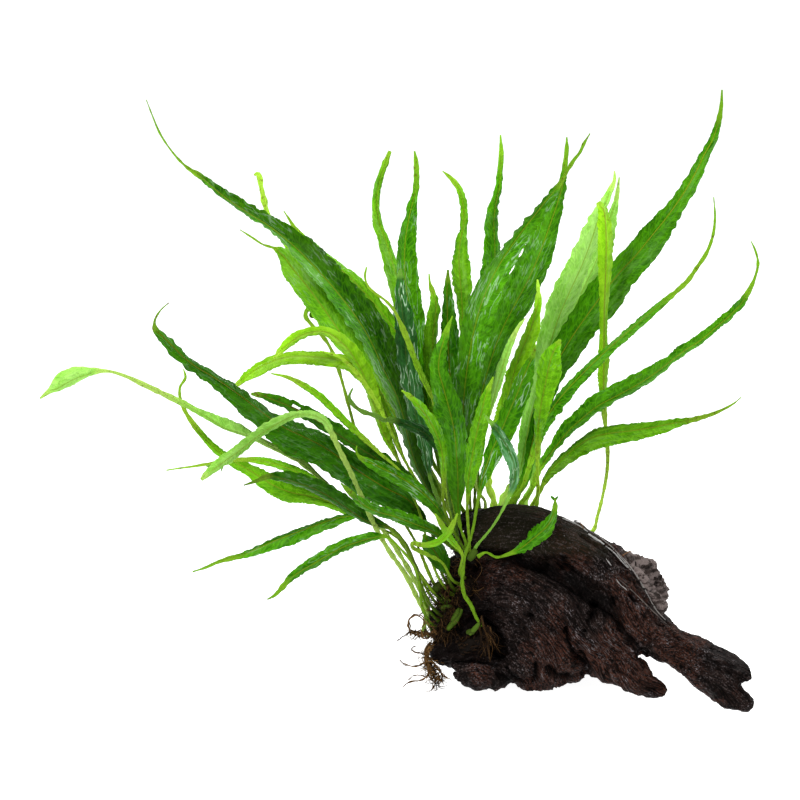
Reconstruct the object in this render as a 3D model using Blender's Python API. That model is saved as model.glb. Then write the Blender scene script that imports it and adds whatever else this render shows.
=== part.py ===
"""Java fern grown on a stump of driftwood, free-standing, about 28 cm wide and 23.5 cm tall.

Frame: +Z up, the floor at z = 0, the viewer on the -Y side. The origin is on the flat underside of
the trunk. Sizes are in millimetres in the tables and metres in the scene.
"""

import math

import bmesh
import bpy
import numpy as np
from mathutils import Vector

MM = 0.001

# The plant is laid out as seen from the front: across (right) and up in a plane through the origin
# that leans back by VIEW_RISE, from an eye EYE_FAR away, and how far back each point lies.
VIEW_RISE = math.radians(12.0)
EYE_FAR = 1777.8
EYE_ACROSS = -48.0
EYE_UP = 112.4

GAP = 0.3
LEAF_THICK = 0.9
STALK_RADIUS = 0.75
TIP_RADIUS = 0.35
BLADE_FROM = 2.2
LEAF_STATIONS = (0.0, 0.02, 0.08, 0.17, 0.27, 0.36, 0.46, 0.56, 0.66, 0.76, 0.86, 0.94)

# Rhizomes: the creeping stem, as points (x, y, z) in mm, and its radius.
RHIZOMES = {
    "rhizome_lower": ([(-34, -12, 20), (-29, -14, 28), (-24, -12, 37), (-20, -13, 46)], 3.6),
    "rhizome_upper": (
        [(-19, -14, 52), (-25, -4, 57), (-27, 8, 60), (-20, 20, 62), (-6, 27, 62), (8, 29, 60), (22, 27, 56)],
        3.6,
    ),
    "rhizome_front": ([(-25, -20, 19), (-19, -21, 22), (-13.5, -20, 27)], 2.8),
}

# Leaves: name, rhizome, place along it (0 to 1), how far back the tip lies, roll and fold in degrees,
# and the seen route as (across, up, seen width) from just past the seat to the tip. A fourth number
# pins how far back that point lies.
LEAVES = [
    ("leaf_left_sweep", "upper", 0.30, 0, 40, 18,
     [(-35, 74, 2.4), (-39.5, 85, 6), (-43, 98, 9), (-46, 112, 12), (-53, 129, 13), (-61, 143, 13),
      (-70, 154.5, 12), (-78, 164, 11), (-88, 174.5, 8.5), (-100, 183.5, 6), (-110, 189.5, 4.6),
      (-120, 196, 3.6), (-128, 202, 2.6), (-133, 205.3, 1.2), (-140.5, 213.5, 0.6), (-144, 219, 0.9),
      (-147, 226, 0.6), (-149.5, 232.5, 0.4)]),
    ("leaf_left_sweep_pale", "upper", 0.36, 26, 32, 15,
     [(-48, 104, 5), (-55, 117, 9), (-62, 128, 11), (-69, 138, 12), (-76, 147.5, 12),
      (-83, 156.5, 11.5), (-90, 165, 9.5), (-95.5, 171.5, 4.5), (-98, 173, 1.2), (-103, 174.7, 0.8),
      (-107, 177.3, 0.9), (-112, 180.5, 0.4)]),
    ("leaf_left_sweep_dark", "upper", 0.33, 14, -40, 15,
     [(-38, 112, 4), (-44, 128, 6), (-52, 141, 8), (-60, 151, 8), (-68, 159.5, 7.5), (-76, 167, 5),
      (-84, 174.5, 3.5), (-90, 181, 1.7), (-92.5, 185, 1.1), (-94.5, 188, 0.4)]),
    ("leaf_left_hook", "upper", 0.39, 38, 0, 10,
     [(-50, 110, 2), (-76, 152, 3), (-94, 176, 3), (-100.8, 186, 2.5), (-102.3, 192, 2.4),
      (-103.6, 198, 2.3), (-104.2, 201.5, 2.1), (-105, 203, 1.5), (-106.3, 202.3, 0.6)]),
    ("leaf_left_bent", "upper", 0.27, -24, 24, 25,
     [(-45, 80, 1.4), (-50, 91, 2.5), (-54, 99, 3.5), (-57, 109, 5), (-60, 119, 6), (-65, 129, 6),
      (-71, 136, 5), (-78, 140, 3.4), (-85, 139.5, 3.4), (-91, 136.8, 4), (-95, 133, 3),
      (-98.5, 129, 1)]),
    ("leaf_left_broad", "upper", 0.24, -12, -24, 12,
     [(-46, 88, 1.4), (-52, 102, 4), (-57, 113, 5.5), (-62, 121, 5.5), (-68, 126.5, 5.6),
      (-75, 128.2, 5.6), (-83, 129.2, 5.8), (-91, 129.3, 5.4), (-98, 127.8, 5.6), (-104, 125, 5.6),
      (-109.5, 121.5, 4.2), (-113.5, 118.3, 1.2)]),
    ("leaf_left_thread", "upper", 0.21, -34, 0, 0,
     [(-48, 92, 1.2), (-54, 105, 1.6), (-58, 112.5, 1.8), (-62.5, 119.5, 1.9), (-67, 125, 1.8),
      (-73, 130, 1.2), (-80, 132, 0.5)]),
    ("leaf_left_short", "lower", 0.67, -40, 0, 10,
     [(-42, 72, 1.2, -25), (-48, 84, 1.2, -28), (-56, 91, 1.6), (-63, 97.5, 2.4), (-69, 103, 2.9),
      (-75, 109, 3), (-81, 114.5, 3), (-87, 118.5, 2.6), (-93, 121.5, 1.6), (-99.5, 123, 0.5)]),
    ("leaf_left_coiled", "lower", 0.57, 30, 0, 0,
     [(-42, 56, 1.2), (-58, 83, 1.2), (-66, 101, 1.2), (-69, 112, 1.3), (-71.5, 121, 1.4),
      (-74, 129, 1.4), (-77.5, 136, 1.4), (-81, 140, 1.4), (-84, 143.3, 1.5), (-85.8, 146, 1.6),
      (-85.2, 148.3, 1.6), (-83, 148.8, 1.5), (-81.9, 147.2, 1.3)]),
    ("leaf_left_big", "lower", 0.75, -24, -32, 18,
     [(-37, 62, 1.8, -20), (-45, 71, 7, -20), (-55, 76, 11, -21), (-64, 82, 13), (-72, 87.5, 13.5),
      (-80, 92.5, 13.5), (-88, 95.8, 13), (-94, 98.5, 12), (-100, 102.8, 10), (-106, 107.5, 8.8),
      (-112, 112.5, 7.6), (-118, 117.3, 6.4), (-124, 121.5, 5), (-130, 125.2, 4.2), (-135, 129, 4.2),
      (-139.5, 133.5, 4.4), (-143, 137.3, 3.6), (-146, 141, 2.4), (-146.2, 143.5, 0.9),
      (-144, 148, 0.7), (-140.5, 151.3, 0.4)]),
    ("leaf_left_holed", "upper", 0.165, -46, 32, 12,
     [(-38, 74, 2), (-46, 81.5, 4.6), (-54, 87.5, 6.8), (-62, 93, 7), (-70, 98, 7), (-78, 103, 6.6),
      (-86, 107.5, 5.6), (-93, 110.8, 4.4), (-100, 113.3, 3.6), (-105, 114.6, 2.2),
      (-107.5, 114.8, 0.8)]),
    ("leaf_left_arching", "lower", 0.03, -84, 32, 25,
     [(-37.6, 26, 1.9), (-41.5, 34, 1.9), (-45, 41.2, 1.9), (-53.2, 53.4, 1.8), (-59.2, 64.4, 1.8),
      (-63.5, 74, 1.8), (-68, 84, 1.8), (-72, 92, 2), (-75.5, 99.5, 2.4), (-78.5, 104.5, 3.2),
      (-83, 106.6, 3), (-89, 106.6, 2.8), (-95, 104.7, 3.6), (-101, 101.5, 4), (-107, 97, 4),
      (-113, 92.3, 4.2), (-118.5, 88.5, 4.2), (-123, 85, 4), (-127.5, 80.5, 1)]),
    ("leaf_left_longest", "lower", 0.11, -10, 48, 25,
     [(-37, 30, 1.8, -12.5), (-42, 40, 1.8, -12), (-49, 52, 1.8, -11.5), (-60, 66, 1.6),
      (-70, 72.5, 2), (-76, 77, 2.2), (-83, 84, 2.2), (-88, 88, 2.2), (-94, 91.3, 2.6),
      (-100, 94.3, 2.4), (-107, 97.8, 2.8), (-112, 100.8, 4), (-117, 102.5, 4.2), (-122, 104.8, 3.6),
      (-128, 107.5, 2.8), (-135, 111.2, 2.6), (-143, 115, 2.2), (-151, 118.8, 2), (-158, 122, 1.5),
      (-164, 123.8, 1.1), (-170, 124, 2.6), (-176, 123.2, 5.2), (-181, 121.3, 6.6), (-185, 118.5, 4.6),
      (-188.5, 115.8, 2.2), (-192, 113, 0.5)]),
    ("leaf_left_thin", "lower", 0.43, 8, 0, 15,
     [(-50, 58, 1.2), (-60, 63, 1.6), (-68, 67.5, 3), (-76, 71.5, 5.5), (-84, 74, 7), (-92, 75.6, 8.4),
      (-98, 78, 8), (-103, 81, 6.4), (-109, 84.8, 4.6), (-116, 88.6, 3.6), (-122, 93, 3),
      (-127, 98.3, 2.8), (-131, 103.3, 2.2), (-134, 108, 1.7), (-136, 113.5, 1.4), (-136, 117.5, 1),
      (-133.8, 121.5, 1.1), (-134.6, 124.8, 0.4)]),
    ("leaf_left_wide_low", "lower", 0.35, -52, 40, 22,
     [(-52, 61, 2), (-60, 64.5, 4), (-67, 69, 5.5), (-74, 74, 6), (-81, 78, 6), (-88, 80.5, 5.5),
      (-95, 82, 4), (-101, 81.8, 2.2), (-106, 79.8, 1.4), (-110.5, 78.3, 0.5)]),
    ("leaf_left_light", "lower", 0.51, -20, 16, 12,
     [(-56, 64, 1.2), (-66, 69.5, 2), (-74, 74.5, 3), (-80, 78.5, 3.4), (-86, 82.5, 3.6),
      (-92, 85, 3.6), (-98, 87, 3.2), (-104, 88.2, 3), (-110, 88.6, 2), (-117, 88.2, 1.4),
      (-124, 87, 1.2), (-131, 85.8, 1), (-137, 85, 0.8), (-141.5, 84.3, 0.5)]),
    ("leaf_left_low", "lower", 0.27, -34, -32, 30,
     [(-48, 57.5, 1.4), (-53, 61.5, 1.4), (-58, 65, 1.6), (-64, 66.3, 2.6), (-70, 65, 3.4),
      (-77, 62.8, 4.4), (-84, 60, 5), (-91, 57.3, 5.2), (-98, 54.8, 5), (-104, 52.5, 4),
      (-110, 50.5, 2.8), (-116, 49, 2.2), (-121, 47.5, 1.6), (-126, 45.3, 1), (-131, 43.7, 0.5)]),
    ("leaf_left_lowest", "lower", 0.19, -76, 32, 20,
     [(-43, 47, 1.3), (-49, 54, 1.3), (-54, 57.8, 1.8), (-59, 57.8, 3.6), (-65, 56.3, 4.4),
      (-71, 54.2, 4.8), (-77, 51, 4.8), (-83, 47.3, 4.6), (-88, 44.3, 4), (-92, 41, 2.8),
      (-95.5, 37, 2), (-98.5, 34, 1.2), (-101, 32.7, 0.5)]),
    ("leaf_front_left", "upper", 0.075, -64, 24, 15,
     [(-28, 54, 1.6), (-34, 60, 4), (-42, 63.5, 5.4), (-50, 66.5, 5), (-58, 68.8, 4.2), (-64, 72, 3.4),
      (-68.5, 76, 2), (-71.5, 79, 0.5)]),
    ("leaf_front_glossy", "upper", 0.02, -48, -24, 15,
     [(-29, 63, 1.6), (-34, 69.5, 4), (-39, 74.5, 5.5), (-45, 79, 6.2), (-51, 82.5, 6),
      (-57, 85.6, 4.6), (-61.5, 88, 3), (-64.5, 90, 1.6), (-65.5, 92, 0.8), (-65.3, 94, 0.4)]),
    ("leaf_front_twisted", "upper", 0.13, -52, 30, 10,
     [(-28.6, 75, 1.4, -13), (-29.4, 86, 2, -15.4), (-32.4, 93.5, 3.6, -17.4), (-36.6, 98.4, 5, -19),
      (-42, 101.6, 4.4, -24), (-47, 103.4, 3.2, -29), (-52, 104.6, 2.2, -34), (-55, 104.6, 1.6),
      (-58, 106.2, 1.8), (-63, 107.8, 1.8), (-66.5, 110.3, 1.8), (-68.3, 113.5, 1.4), (-67, 117, 0.5)]),
    ("leaf_top_wet", "upper", 0.18, -8, 24, 12,
     [(-36, 82, 2), (-37.5, 92, 6), (-40, 103, 8), (-42.5, 114, 8.6), (-44.5, 126, 9), (-45.5, 138, 9),
      (-46.5, 147, 7.6), (-47.6, 154, 5), (-48, 160, 3.2), (-47.8, 165, 1)]),
    ("leaf_top_left", "upper", 0.415, 48, -48, 15,
     [(-38.5, 92, 1.6, 27), (-40, 106, 4, 31), (-43.5, 130, 6), (-47, 148, 6), (-50, 160, 5.4),
      (-52.5, 169, 5), (-54.5, 176, 4.6), (-57, 183, 4), (-57.7, 190, 3.2), (-57, 197.5, 3),
      (-55.4, 203, 2.7), (-53.3, 208.5, 2.5), (-52, 212, 1.2)]),
    ("leaf_top_left_inner", "upper", 0.45, 30, 40, 12,
     [(-35, 88, 2), (-39, 110, 7), (-42, 130, 8.5), (-43.5, 148, 8.5), (-44.8, 160, 8.4),
      (-45.2, 170, 8), (-44.8, 178, 6.6), (-43.8, 185, 4.4), (-42.8, 191, 3), (-41.6, 197, 2.6),
      (-41.4, 203, 2.4), (-41.6, 208, 1.8), (-42.2, 212, 0.6)]),
    ("leaf_top_thread", "upper", 0.15, -30, 0, 0,
     [(-30, 88, 1), (-32, 102, 1.4), (-34.5, 112, 2.2), (-38, 119.5, 2.6), (-42, 128.5, 2.6),
      (-45, 136.5, 2.2), (-48, 143.5, 1.8), (-50.5, 148.5, 1.4), (-54, 152.3, 1), (-58, 155.2, 0.9),
      (-61, 158.3, 0.9), (-62, 162, 1), (-61.4, 165.5, 0.7)]),
    ("leaf_top_light", "upper", 0.20, 14, -32, 15,
     [(-30, 80, 1.6), (-32, 100, 4), (-34.5, 118, 6.5), (-36, 130, 7), (-35.8, 139, 6.4),
      (-35, 145, 5.4), (-34.2, 150, 4.2), (-34.8, 155, 2.4), (-36, 159, 1), (-36.4, 163, 0.5)]),
    ("leaf_top_dark", "upper", 0.23, 6, 32, 15,
     [(-26, 80, 1.6), (-26.5, 100, 5), (-27, 118, 7), (-27.8, 132, 7), (-28.3, 144, 6),
      (-28.6, 152, 4.6), (-28.9, 159, 2.8), (-28.8, 164.5, 0.8)]),
    ("leaf_top_crooked", "upper", 0.48, 28, 32, 15,
     [(-20.5, 84, 1.6), (-21, 110, 4), (-22, 130, 5), (-22.3, 144, 4.4), (-22.5, 152, 5.8),
      (-23, 160, 7.2), (-23.6, 168, 6.6), (-23.4, 175, 4.9), (-22.5, 181, 3.1), (-22.2, 187, 3.3),
      (-22.8, 192, 3.1), (-24.5, 197, 2.7), (-27.5, 201, 1.7), (-31, 204, 0.5)]),
    ("leaf_top_middle", "upper", 0.53, 42, -40, 15,
     [(-17, 92, 1.6), (-17.5, 115, 6), (-16.5, 135, 8.5), (-14.5, 150, 9.5), (-12.5, 160, 9.5),
      (-11.5, 168, 9), (-11.4, 176, 7.4), (-11.5, 184, 6.2), (-10.4, 191, 4), (-8.7, 197, 3),
      (-8, 204, 2.7), (-7.5, 210, 2.4), (-7.8, 218.5, 0.5)]),
    ("leaf_top_big_front", "upper", 0.26, -30, 32, 18,
     [(-22, 82, 1.8), (-22.3, 96, 5), (-21.5, 112, 8), (-20, 128, 10), (-17.5, 141, 10.4),
      (-14, 152, 10.4), (-9.5, 162, 9.6), (-4, 171, 8.4), (2, 179.5, 7), (8, 187.5, 5.4),
      (13, 194.5, 3.6), (17, 200.5, 1.6), (19.5, 205, 1.3), (21.5, 208.3, 1.5), (24, 211.5, 1.1),
      (25.5, 214.8, 1.3), (28, 219, 0.4)]),
    ("leaf_top_big_back", "upper", 0.50, 10, -24, 15,
     [(-18, 78, 1.8), (-18.5, 95, 7), (-17, 112, 11), (-14, 126, 13), (-9, 139, 13.5), (-3, 151, 13.5),
      (3, 162, 13), (8, 173, 11), (12, 184, 8), (15, 193, 5.4), (17.2, 201, 3), (18.2, 208, 2.2),
      (18.7, 213, 1.7), (18.7, 217.5, 0.5)]),
    ("leaf_middle_pale", "upper", 0.555, -14, 0, 12,
     [(-17, 76, 1.2), (-15.5, 92, 1.3), (-13.5, 103, 1.8), (-11, 112, 3), (-9, 119, 3.8), (-7, 126, 4),
      (-5, 132, 3.4), (-2.5, 138, 2.4), (0, 142.5, 1.3), (2.2, 145.2, 0.4)]),
    ("leaf_middle_bright", "upper", 0.600, 4, 32, 15,
     [(-12.6, 78, 2), (-11, 92, 3.6), (-7.6, 104, 5.5), (-4, 114, 7), (-1.5, 123, 8), (1.5, 131, 8),
      (4.2, 138, 6.8), (6.3, 144.5, 5), (7.2, 150, 3.4), (7.4, 155, 2.1), (7, 160.5, 0.5)]),
    ("leaf_front_stalked", "front", 0.95, -56, 32, 15,
     [(-20, 31, 2), (-22, 34, 2), (-23, 38, 2), (-23, 43, 2), (-22, 50, 1.6), (-19, 60, 1.4),
      (-17.2, 70, 1.6), (-15.4, 78, 2.8), (-13, 85, 5), (-9.8, 93, 7.4), (-6, 101, 8.6),
      (-2.6, 109, 8.8), (0.4, 116, 8), (2.6, 122.5, 6), (4.6, 128, 3.4), (6, 133.5, 0.6)]),
    ("leaf_right_pale", "upper", 0.640, 46, -32, 15,
     [(-1.6, 80, 2.4), (1, 92, 4.4), (3.6, 106, 6.4), (7, 120, 8), (10.5, 134, 9.5), (14.5, 146, 11),
      (19, 157, 11), (23.5, 167, 10), (27.5, 177, 8.5), (30.5, 185, 6.5), (33.5, 191, 4.2),
      (36, 196, 2.6), (37.8, 200.5, 1.5), (37.8, 204, 0.5)]),
    ("leaf_right_pale_back", "upper", 0.747, 64, 32, 12,
     [(5, 78, 1.8), (7, 96, 4), (10, 112, 6), (15, 130, 7.5), (20.5, 144, 9), (26, 156, 9.5),
      (31, 167, 8.5), (34.5, 177, 6.5), (37, 186, 4), (38.6, 193, 2.4), (39.7, 201.5, 0.5)]),
    ("leaf_front_upright", "upper", 0.774, -30, 24, 15,
     [(6.8, 74, 1.2), (7, 82, 1.2), (7, 92, 1.5), (7.5, 100, 3.2), (8.5, 108, 5.5), (9.8, 115, 7.6),
      (11, 121, 9.4), (12, 126, 9.6), (13, 130, 8), (14.5, 133.5, 4), (16, 136.5, 0.6)]),
    ("leaf_right_upright", "upper", 0.98, 12, -16, 20,
     [(25.5, 58.5, 1.4, 27), (29, 60, 1.4, 26), (31, 66, 1.3, 25), (33.5, 76, 1.3), (35, 86, 1.4),
      (34.9, 95, 1.5), (34, 104, 1.8), (33.3, 112, 3), (33.1, 120, 3.9), (33.3, 130, 4),
      (33.4, 140, 3.6), (33.5, 150, 3.8), (33.8, 158, 4.6), (34, 167, 6.2), (34, 176, 7),
      (33.6, 184, 6.2), (32.8, 189, 4), (31.2, 191.5, 1)]),
    ("leaf_right_big", "upper", 0.692, 30, 24, 12,
     [(2.4, 82, 3), (4.6, 92, 4.6), (8, 106, 6.4), (10.5, 115, 8), (14, 124, 9), (18.5, 132.5, 12),
      (23.5, 140.5, 13), (29, 148, 13.5), (35, 155.5, 14), (41, 163, 13.5), (47, 169.5, 12.5),
      (52.5, 176.5, 11), (58, 183.5, 8.7), (63, 190.5, 6.6), (67.5, 197.5, 5.6), (71, 204, 4.8),
      (74, 210.5, 4.2), (77, 216, 3.6), (79, 222, 2.8), (80.5, 230, 1.5), (80.8, 236.5, 0.6)]),
    ("leaf_right_dusty", "upper", 0.666, -20, 32, 20,
     [(0, 76, 1.4), (3.5, 85, 1.8), (6, 93, 2.6), (9.5, 101.5, 4.8), (14, 109, 5.6), (19.5, 116, 5.2),
      (25, 122, 4.4), (31, 128, 4), (37.5, 134, 3.8), (44, 139.7, 3.6), (50.5, 145.5, 3.2),
      (57, 151.2, 2.8), (62.5, 155.8, 2.2), (67, 160, 2), (70.5, 165, 1.6), (74.5, 171, 1.6),
      (77, 177.5, 1.2), (78, 185, 1), (77.5, 193.5, 0.4)]),
    ("leaf_right_long", "upper", 0.720, -36, -32, 20,
     [(4.5, 76, 1.4), (6.5, 82, 1.8), (10, 88.5, 3), (14, 94.5, 4.4), (19, 101, 6), (25, 106.5, 7),
      (31, 111.5, 8), (37, 114.8, 7.4), (43, 118, 7), (49.5, 121.5, 6.6), (55, 125, 6),
      (60, 128.5, 3.6), (66, 133, 3.8), (72, 136.8, 3.8), (78, 141.8, 3.6), (84, 147, 3.6),
      (88.5, 151.5, 3), (91.8, 156.5, 2.2), (94, 161.5, 1.2), (95.2, 167, 1.2), (94.2, 172, 0.9),
      (92.5, 175.8, 0.4)]),
    ("leaf_right_low", "upper", 0.801, -12, 24, 25,
     [(7.5, 74.5, 1.4), (9.5, 79, 2), (13, 84, 3.8), (18, 88.5, 5), (24, 93, 6.4), (30, 96.5, 7.6),
      (37, 98.3, 7.8), (44, 99.3, 7.4), (51, 100.5, 6.2), (58, 102, 4.6), (65, 103.6, 2.8),
      (71, 105, 2.2), (77, 106.8, 1.6), (82, 109, 1), (85.5, 111, 0.8), (88.5, 113.5, 0.4)]),
    ("leaf_on_wood", "upper", 0.01, -36, 24, 10,
     [(-9, 49.5, 1.2), (-5, 50.6, 1.6), (-1.5, 52, 2.6), (2, 54, 4.4), (5.5, 56.8, 6),
      (8.8, 59.6, 6.4), (11.5, 62.5, 5.4), (13.2, 66, 3.6), (14, 69.5, 2.2), (14, 73, 0.5)]),
    ("leaf_front_bluish", "upper", 0.03, -62, -24, 15,
     [(-14, 58, 1.2, -18), (-10.5, 62.5, 1.2), (-7.5, 67.5, 1.3), (-5, 72.5, 1.8), (-3, 77.5, 3),
      (-2.3, 82.5, 3.8), (-3, 88, 4.2), (-5.2, 93, 4.4), (-8, 98, 4), (-10.5, 102, 3),
      (-13.8, 106, 0.6)]),
    ("leaf_front_middle", "upper", 0.06, -30, -24, 15,
     [(-24, 62, 1.6), (-25, 70, 3.2), (-25.4, 80, 7.4), (-26, 90, 10), (-27, 100, 11),
      (-29.2, 110, 10.4), (-31.2, 118, 8), (-32.8, 125, 5.8), (-32.2, 131, 4.6), (-30.3, 137, 3),
      (-28.8, 141.5, 1.8), (-27, 146, 0.5)]),
    ("leaf_front_small", "upper", 0.105, -46, 16, 15,
     [(-30.5, 70, 1.2), (-30.5, 82, 2.4), (-31, 92, 4), (-33.5, 100, 4.6), (-37, 106, 4.6),
      (-40.5, 110.5, 3.8), (-44, 113.8, 2.2), (-47.2, 116.2, 0.5)]),
    ("leaf_front_bright", "upper", 0.04, -50, 32, 15,
     [(-21, 72, 1.6), (-20, 80, 4), (-18.6, 88, 6), (-17, 97, 6.8), (-15.3, 104.5, 6.4),
      (-13.8, 111, 4.8), (-12.8, 116, 2.8), (-10.7, 121.5, 0.5)]),
    ("leaf_front_curled", "lower", 0.88, -40, 0, 10,
     [(-32, 48, 1.6, -27), (-38, 51, 2.4, -32), (-43, 53.6, 2, -35), (-43.2, 55, 1.8, -37),
      (-38, 54.4, 2.4, -39), (-33, 55.6, 3, -40), (-29, 59, 2.8, -40), (-26.5, 63.5, 2, -40),
      (-25, 67, 0.5, -40)]),
    ("leaf_low_dark", "lower", 0.785, -22, 8, 10,
     [(-29, 43, 1.6, -19), (-31.4, 47.5, 7, -21), (-34.4, 52.5, 9, -22), (-37, 56.2, 6, -22.8),
      (-38.6, 58.6, 0.8, -23.4)]),
    ("leaf_front_sprout", "lower", 0.98, -38, 0, 12,
     [(-23, 50, 1.6, -20), (-28, 57, 3.2, -27), (-31, 62, 2.6, -32), (-34, 67, 0.5, -38)]),
]

# Wood: limbs as balls (across, up, back, radius) strung along their lengths.
TRUNK = [
    [(-12, 58, 2, 11), (0, 57, 0, 14), (13, 53, -1, 15), (26, 47, -3, 13), (35, 40, -5, 13.4)],
    [(-8, 55, 12, 12), (6, 54, 14, 14), (20, 49, 14, 13), (34, 42, 10, 11.4)],
    [(-4, 40, -2, 16), (8, 36, -6, 18), (22, 32, -6, 18), (36, 29, -8, 17)],
    [(-2, 22, -2, 14), (10, 18, -8, 16), (24, 18, -8, 14), (36, 22, -10, 15)],
    [(0, 18, 14, 14), (16, 18, 14, 16), (30, 22, 10, 14)],
    [(-8, 10, -8, 9), (-16, 4, -13, 7), (-21, 3, -14, 5)],
    [(-8, 8, 0, 10), (6, 8, 2, 11), (20, 9.5, 6, 10.6), (31, 12, 8, 9)],
    [(0, 6, -12, 9), (10, 6, -12, 9), (18, 7, -10, 8)],
    [(-8, 16, 0, 9), (-20, 13, -8, 8), (-27, 12, -10, 6.5), (-33, 12, -11, 3.8)],
    [(-11, 44, -6, 6), (-15, 37, -7, 7), (-19, 28, -7, 7.5), (-23, 19, -8, 7)],
]
LONG_ARM = [(36, 32, -8, 17), (45, 24.5, -14, 15), (53, 19, -22, 11), (61, 13.8, -31, 9), (69, 8.3, -39, 9.6),
            (78, 3.6, -46, 10.2), (84.5, -1.2, -52, 9.4), (88, -7, -55, 6.4)]
MIDDLE_PRONG = [(26, 12, -10, 10), (38, 7, -18, 8), (46, 2, -26, 6.4), (52, -2, -30, 4.6), (57, -4.2, -32, 3)]
BACK_KNOB = [(34, 40, 12, 12), (43, 41, 17, 10), (51, 41, 20, 7.5), (53, 34, 20, 6.5)]
WOOD_GRAIN = 2.6
WOOD_FACES = 2650

# Where the limbs part from the trunk: a point, the outward direction of the fork, and the width,
# height and length of what parts there.
FORKS = {
    "wood_middle_prong": ((40, -20, 6), (0.8, -0.6, 0.0), 22, 13.5, 30),
    "wood_long_arm": ((52, -22, 24), (0.74, -0.62, -0.25), 56, 60, 90),
    "wood_back_knob": ((46, 18, 36), (0.86, 0.45, 0.2), 40, 44, 60),
}

# Root bundles: strands as balls (x, y, z, radius) that touch.
ROOTS = {
    "roots_left_mass": [
        [(-35, -14, 12, 1.8), (-37, -15, 8, 2.8), (-35, -15, 4.5, 3), (-33, -15, 2.6, 2.2)],
        [(-37, -15, 8, 2.4), (-41, -16, 8.5, 1.2), (-44, -17, 12, 0.9), (-46, -17, 15, 0.8)],
        [(-37, -15, 6, 2), (-42, -16, 5.5, 1), (-48, -17, 6, 0.8), (-52, -17, 9, 0.7)],
        [(-35, -15, 4, 2), (-41, -16, 1.6, 1.2), (-47, -16, 1.5, 0.9), (-51, -16, 1.2, 0.7)],
    ],
    "roots_left_loop": [
        [(-36, -18, 21, 1.6), (-40, -18.5, 20, 1.6), (-45, -19, 21, 1.4), (-49, -19, 17, 0.8)],
        [(-44, -19, 21.5, 1.1), (-45.5, -19, 25, 1), (-43.5, -19, 28.3, 1), (-40, -19, 28, 1),
         (-38.6, -19, 25.4, 0.9)],
    ],
    "roots_front": [
        [(-14.5, -24.5, 24, 1.6), (-13.5, -24.5, 19, 2), (-12.5, -24, 14, 1.8), (-12, -23, 9, 1)],
        [(-13.5, -24.5, 20, 1.6), (-10.5, -24, 16, 1.2), (-8.5, -23.5, 13, 0.8)],
    ],
}


def seen(across, up, back):
    """The world point (mm) that is seen at (across, up) and lies `back` behind the origin."""
    rise = Vector((0.0, math.sin(VIEW_RISE), math.cos(VIEW_RISE)))
    ahead = Vector((0.0, math.cos(VIEW_RISE), -math.sin(VIEW_RISE)))
    eye = Vector((EYE_ACROSS, 0.0, 0.0)) + EYE_UP * rise - EYE_FAR * ahead
    on_plane = Vector((across, 0.0, 0.0)) + up * rise
    ray = on_plane - eye
    return eye + ray * ((back - eye.y) / ray.y)


def smooth_route(points, shares):
    """Points at the given shares of the length of a smooth curve through `points`."""
    gaps = [(q - p).length for p, q in zip(points, points[1:])]
    speeds = [(q - p) / gap for p, q, gap in zip(points, points[1:], gaps)]
    slopes = [speeds[0]]
    for i in range(1, len(speeds)):
        slopes.append((speeds[i - 1] * gaps[i] + speeds[i] * gaps[i - 1]) / (gaps[i - 1] + gaps[i]))
    slopes.append(speeds[-1])
    fine = []
    for i, gap in enumerate(gaps):
        for k in range(12):
            t = k / 12
            fine.append(points[i] * (2 * t**3 - 3 * t**2 + 1) + points[i + 1] * (3 * t**2 - 2 * t**3)
                        + slopes[i] * gap * (t**3 - 2 * t**2 + t) + slopes[i + 1] * gap * (t**3 - t**2))
    fine.append(points[-1])
    far = [0.0]
    for p, q in zip(fine, fine[1:]):
        far.append(far[-1] + (q - p).length)
    return [
        Vector([float(np.interp(share * far[-1], far, [p[axis] for p in fine])) for axis in range(3)])
        for share in shares
    ]


def material(name, colour, rough):
    made = bpy.data.materials.new(name)
    made.use_nodes = True
    shader = made.node_tree.nodes["Principled BSDF"]
    shader.inputs["Base Color"].default_value = (*colour, 1.0)
    shader.inputs["Roughness"].default_value = rough
    shader.inputs["Metallic"].default_value = 0.0
    return made


def add_object(name, mesh, colour, rough, smooth=True):
    made = bpy.data.objects.new(name, mesh)
    bpy.context.scene.collection.objects.link(made)
    mesh.materials.append(material(f"{name}_finish", colour, rough))
    if smooth:
        mesh.shade_smooth()
    return made


def mesh_from(bm, name):
    bm.normal_update()
    bmesh.ops.recalc_face_normals(bm, faces=bm.faces)
    if bm.calc_volume(signed=True) < 0:
        bmesh.ops.reverse_faces(bm, faces=bm.faces)
    mesh = bpy.data.meshes.new(name)
    bm.to_mesh(mesh)
    bm.free()
    return mesh


def along_rhizome(name, place):
    points, radius = RHIZOMES[name]
    line = [Vector(p) for p in points]
    here, ahead = smooth_route(line, (place, min(1.0, place + 0.02)))
    behind = smooth_route(line, (max(0.0, place - 0.02),))[0]
    return here, (ahead - behind).normalized(), radius


def leaf_route(row):
    """The leaf's points (mm) from its seat on the rhizome to its tip."""
    _, rhizome, place, tip_back, *_, route = row
    centre, way, radius = along_rhizome(f"rhizome_{rhizome}", place)
    steps = [0.0]
    flat = [(centre.x, centre.z * math.cos(VIEW_RISE) + centre.y * math.sin(VIEW_RISE)), *route]
    for (a, b, *_), (c, d, *_) in zip(flat, flat[1:]):
        steps.append(steps[-1] + math.hypot(c - a, d - b))
    points = []
    for (across, up, _, *pinned), far in zip(route, steps[1:]):
        back = pinned[0] if pinned else centre.y + (tip_back - centre.y) * far / steps[-1]
        points.append(seen(across, up, back))
    aim = (points[0] - centre).normalized()
    out = (aim - way * aim.dot(way)).normalized()
    return [centre + out * (radius + GAP), centre + out * (radius + 1.2) + aim * 1.5, *points]


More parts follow.
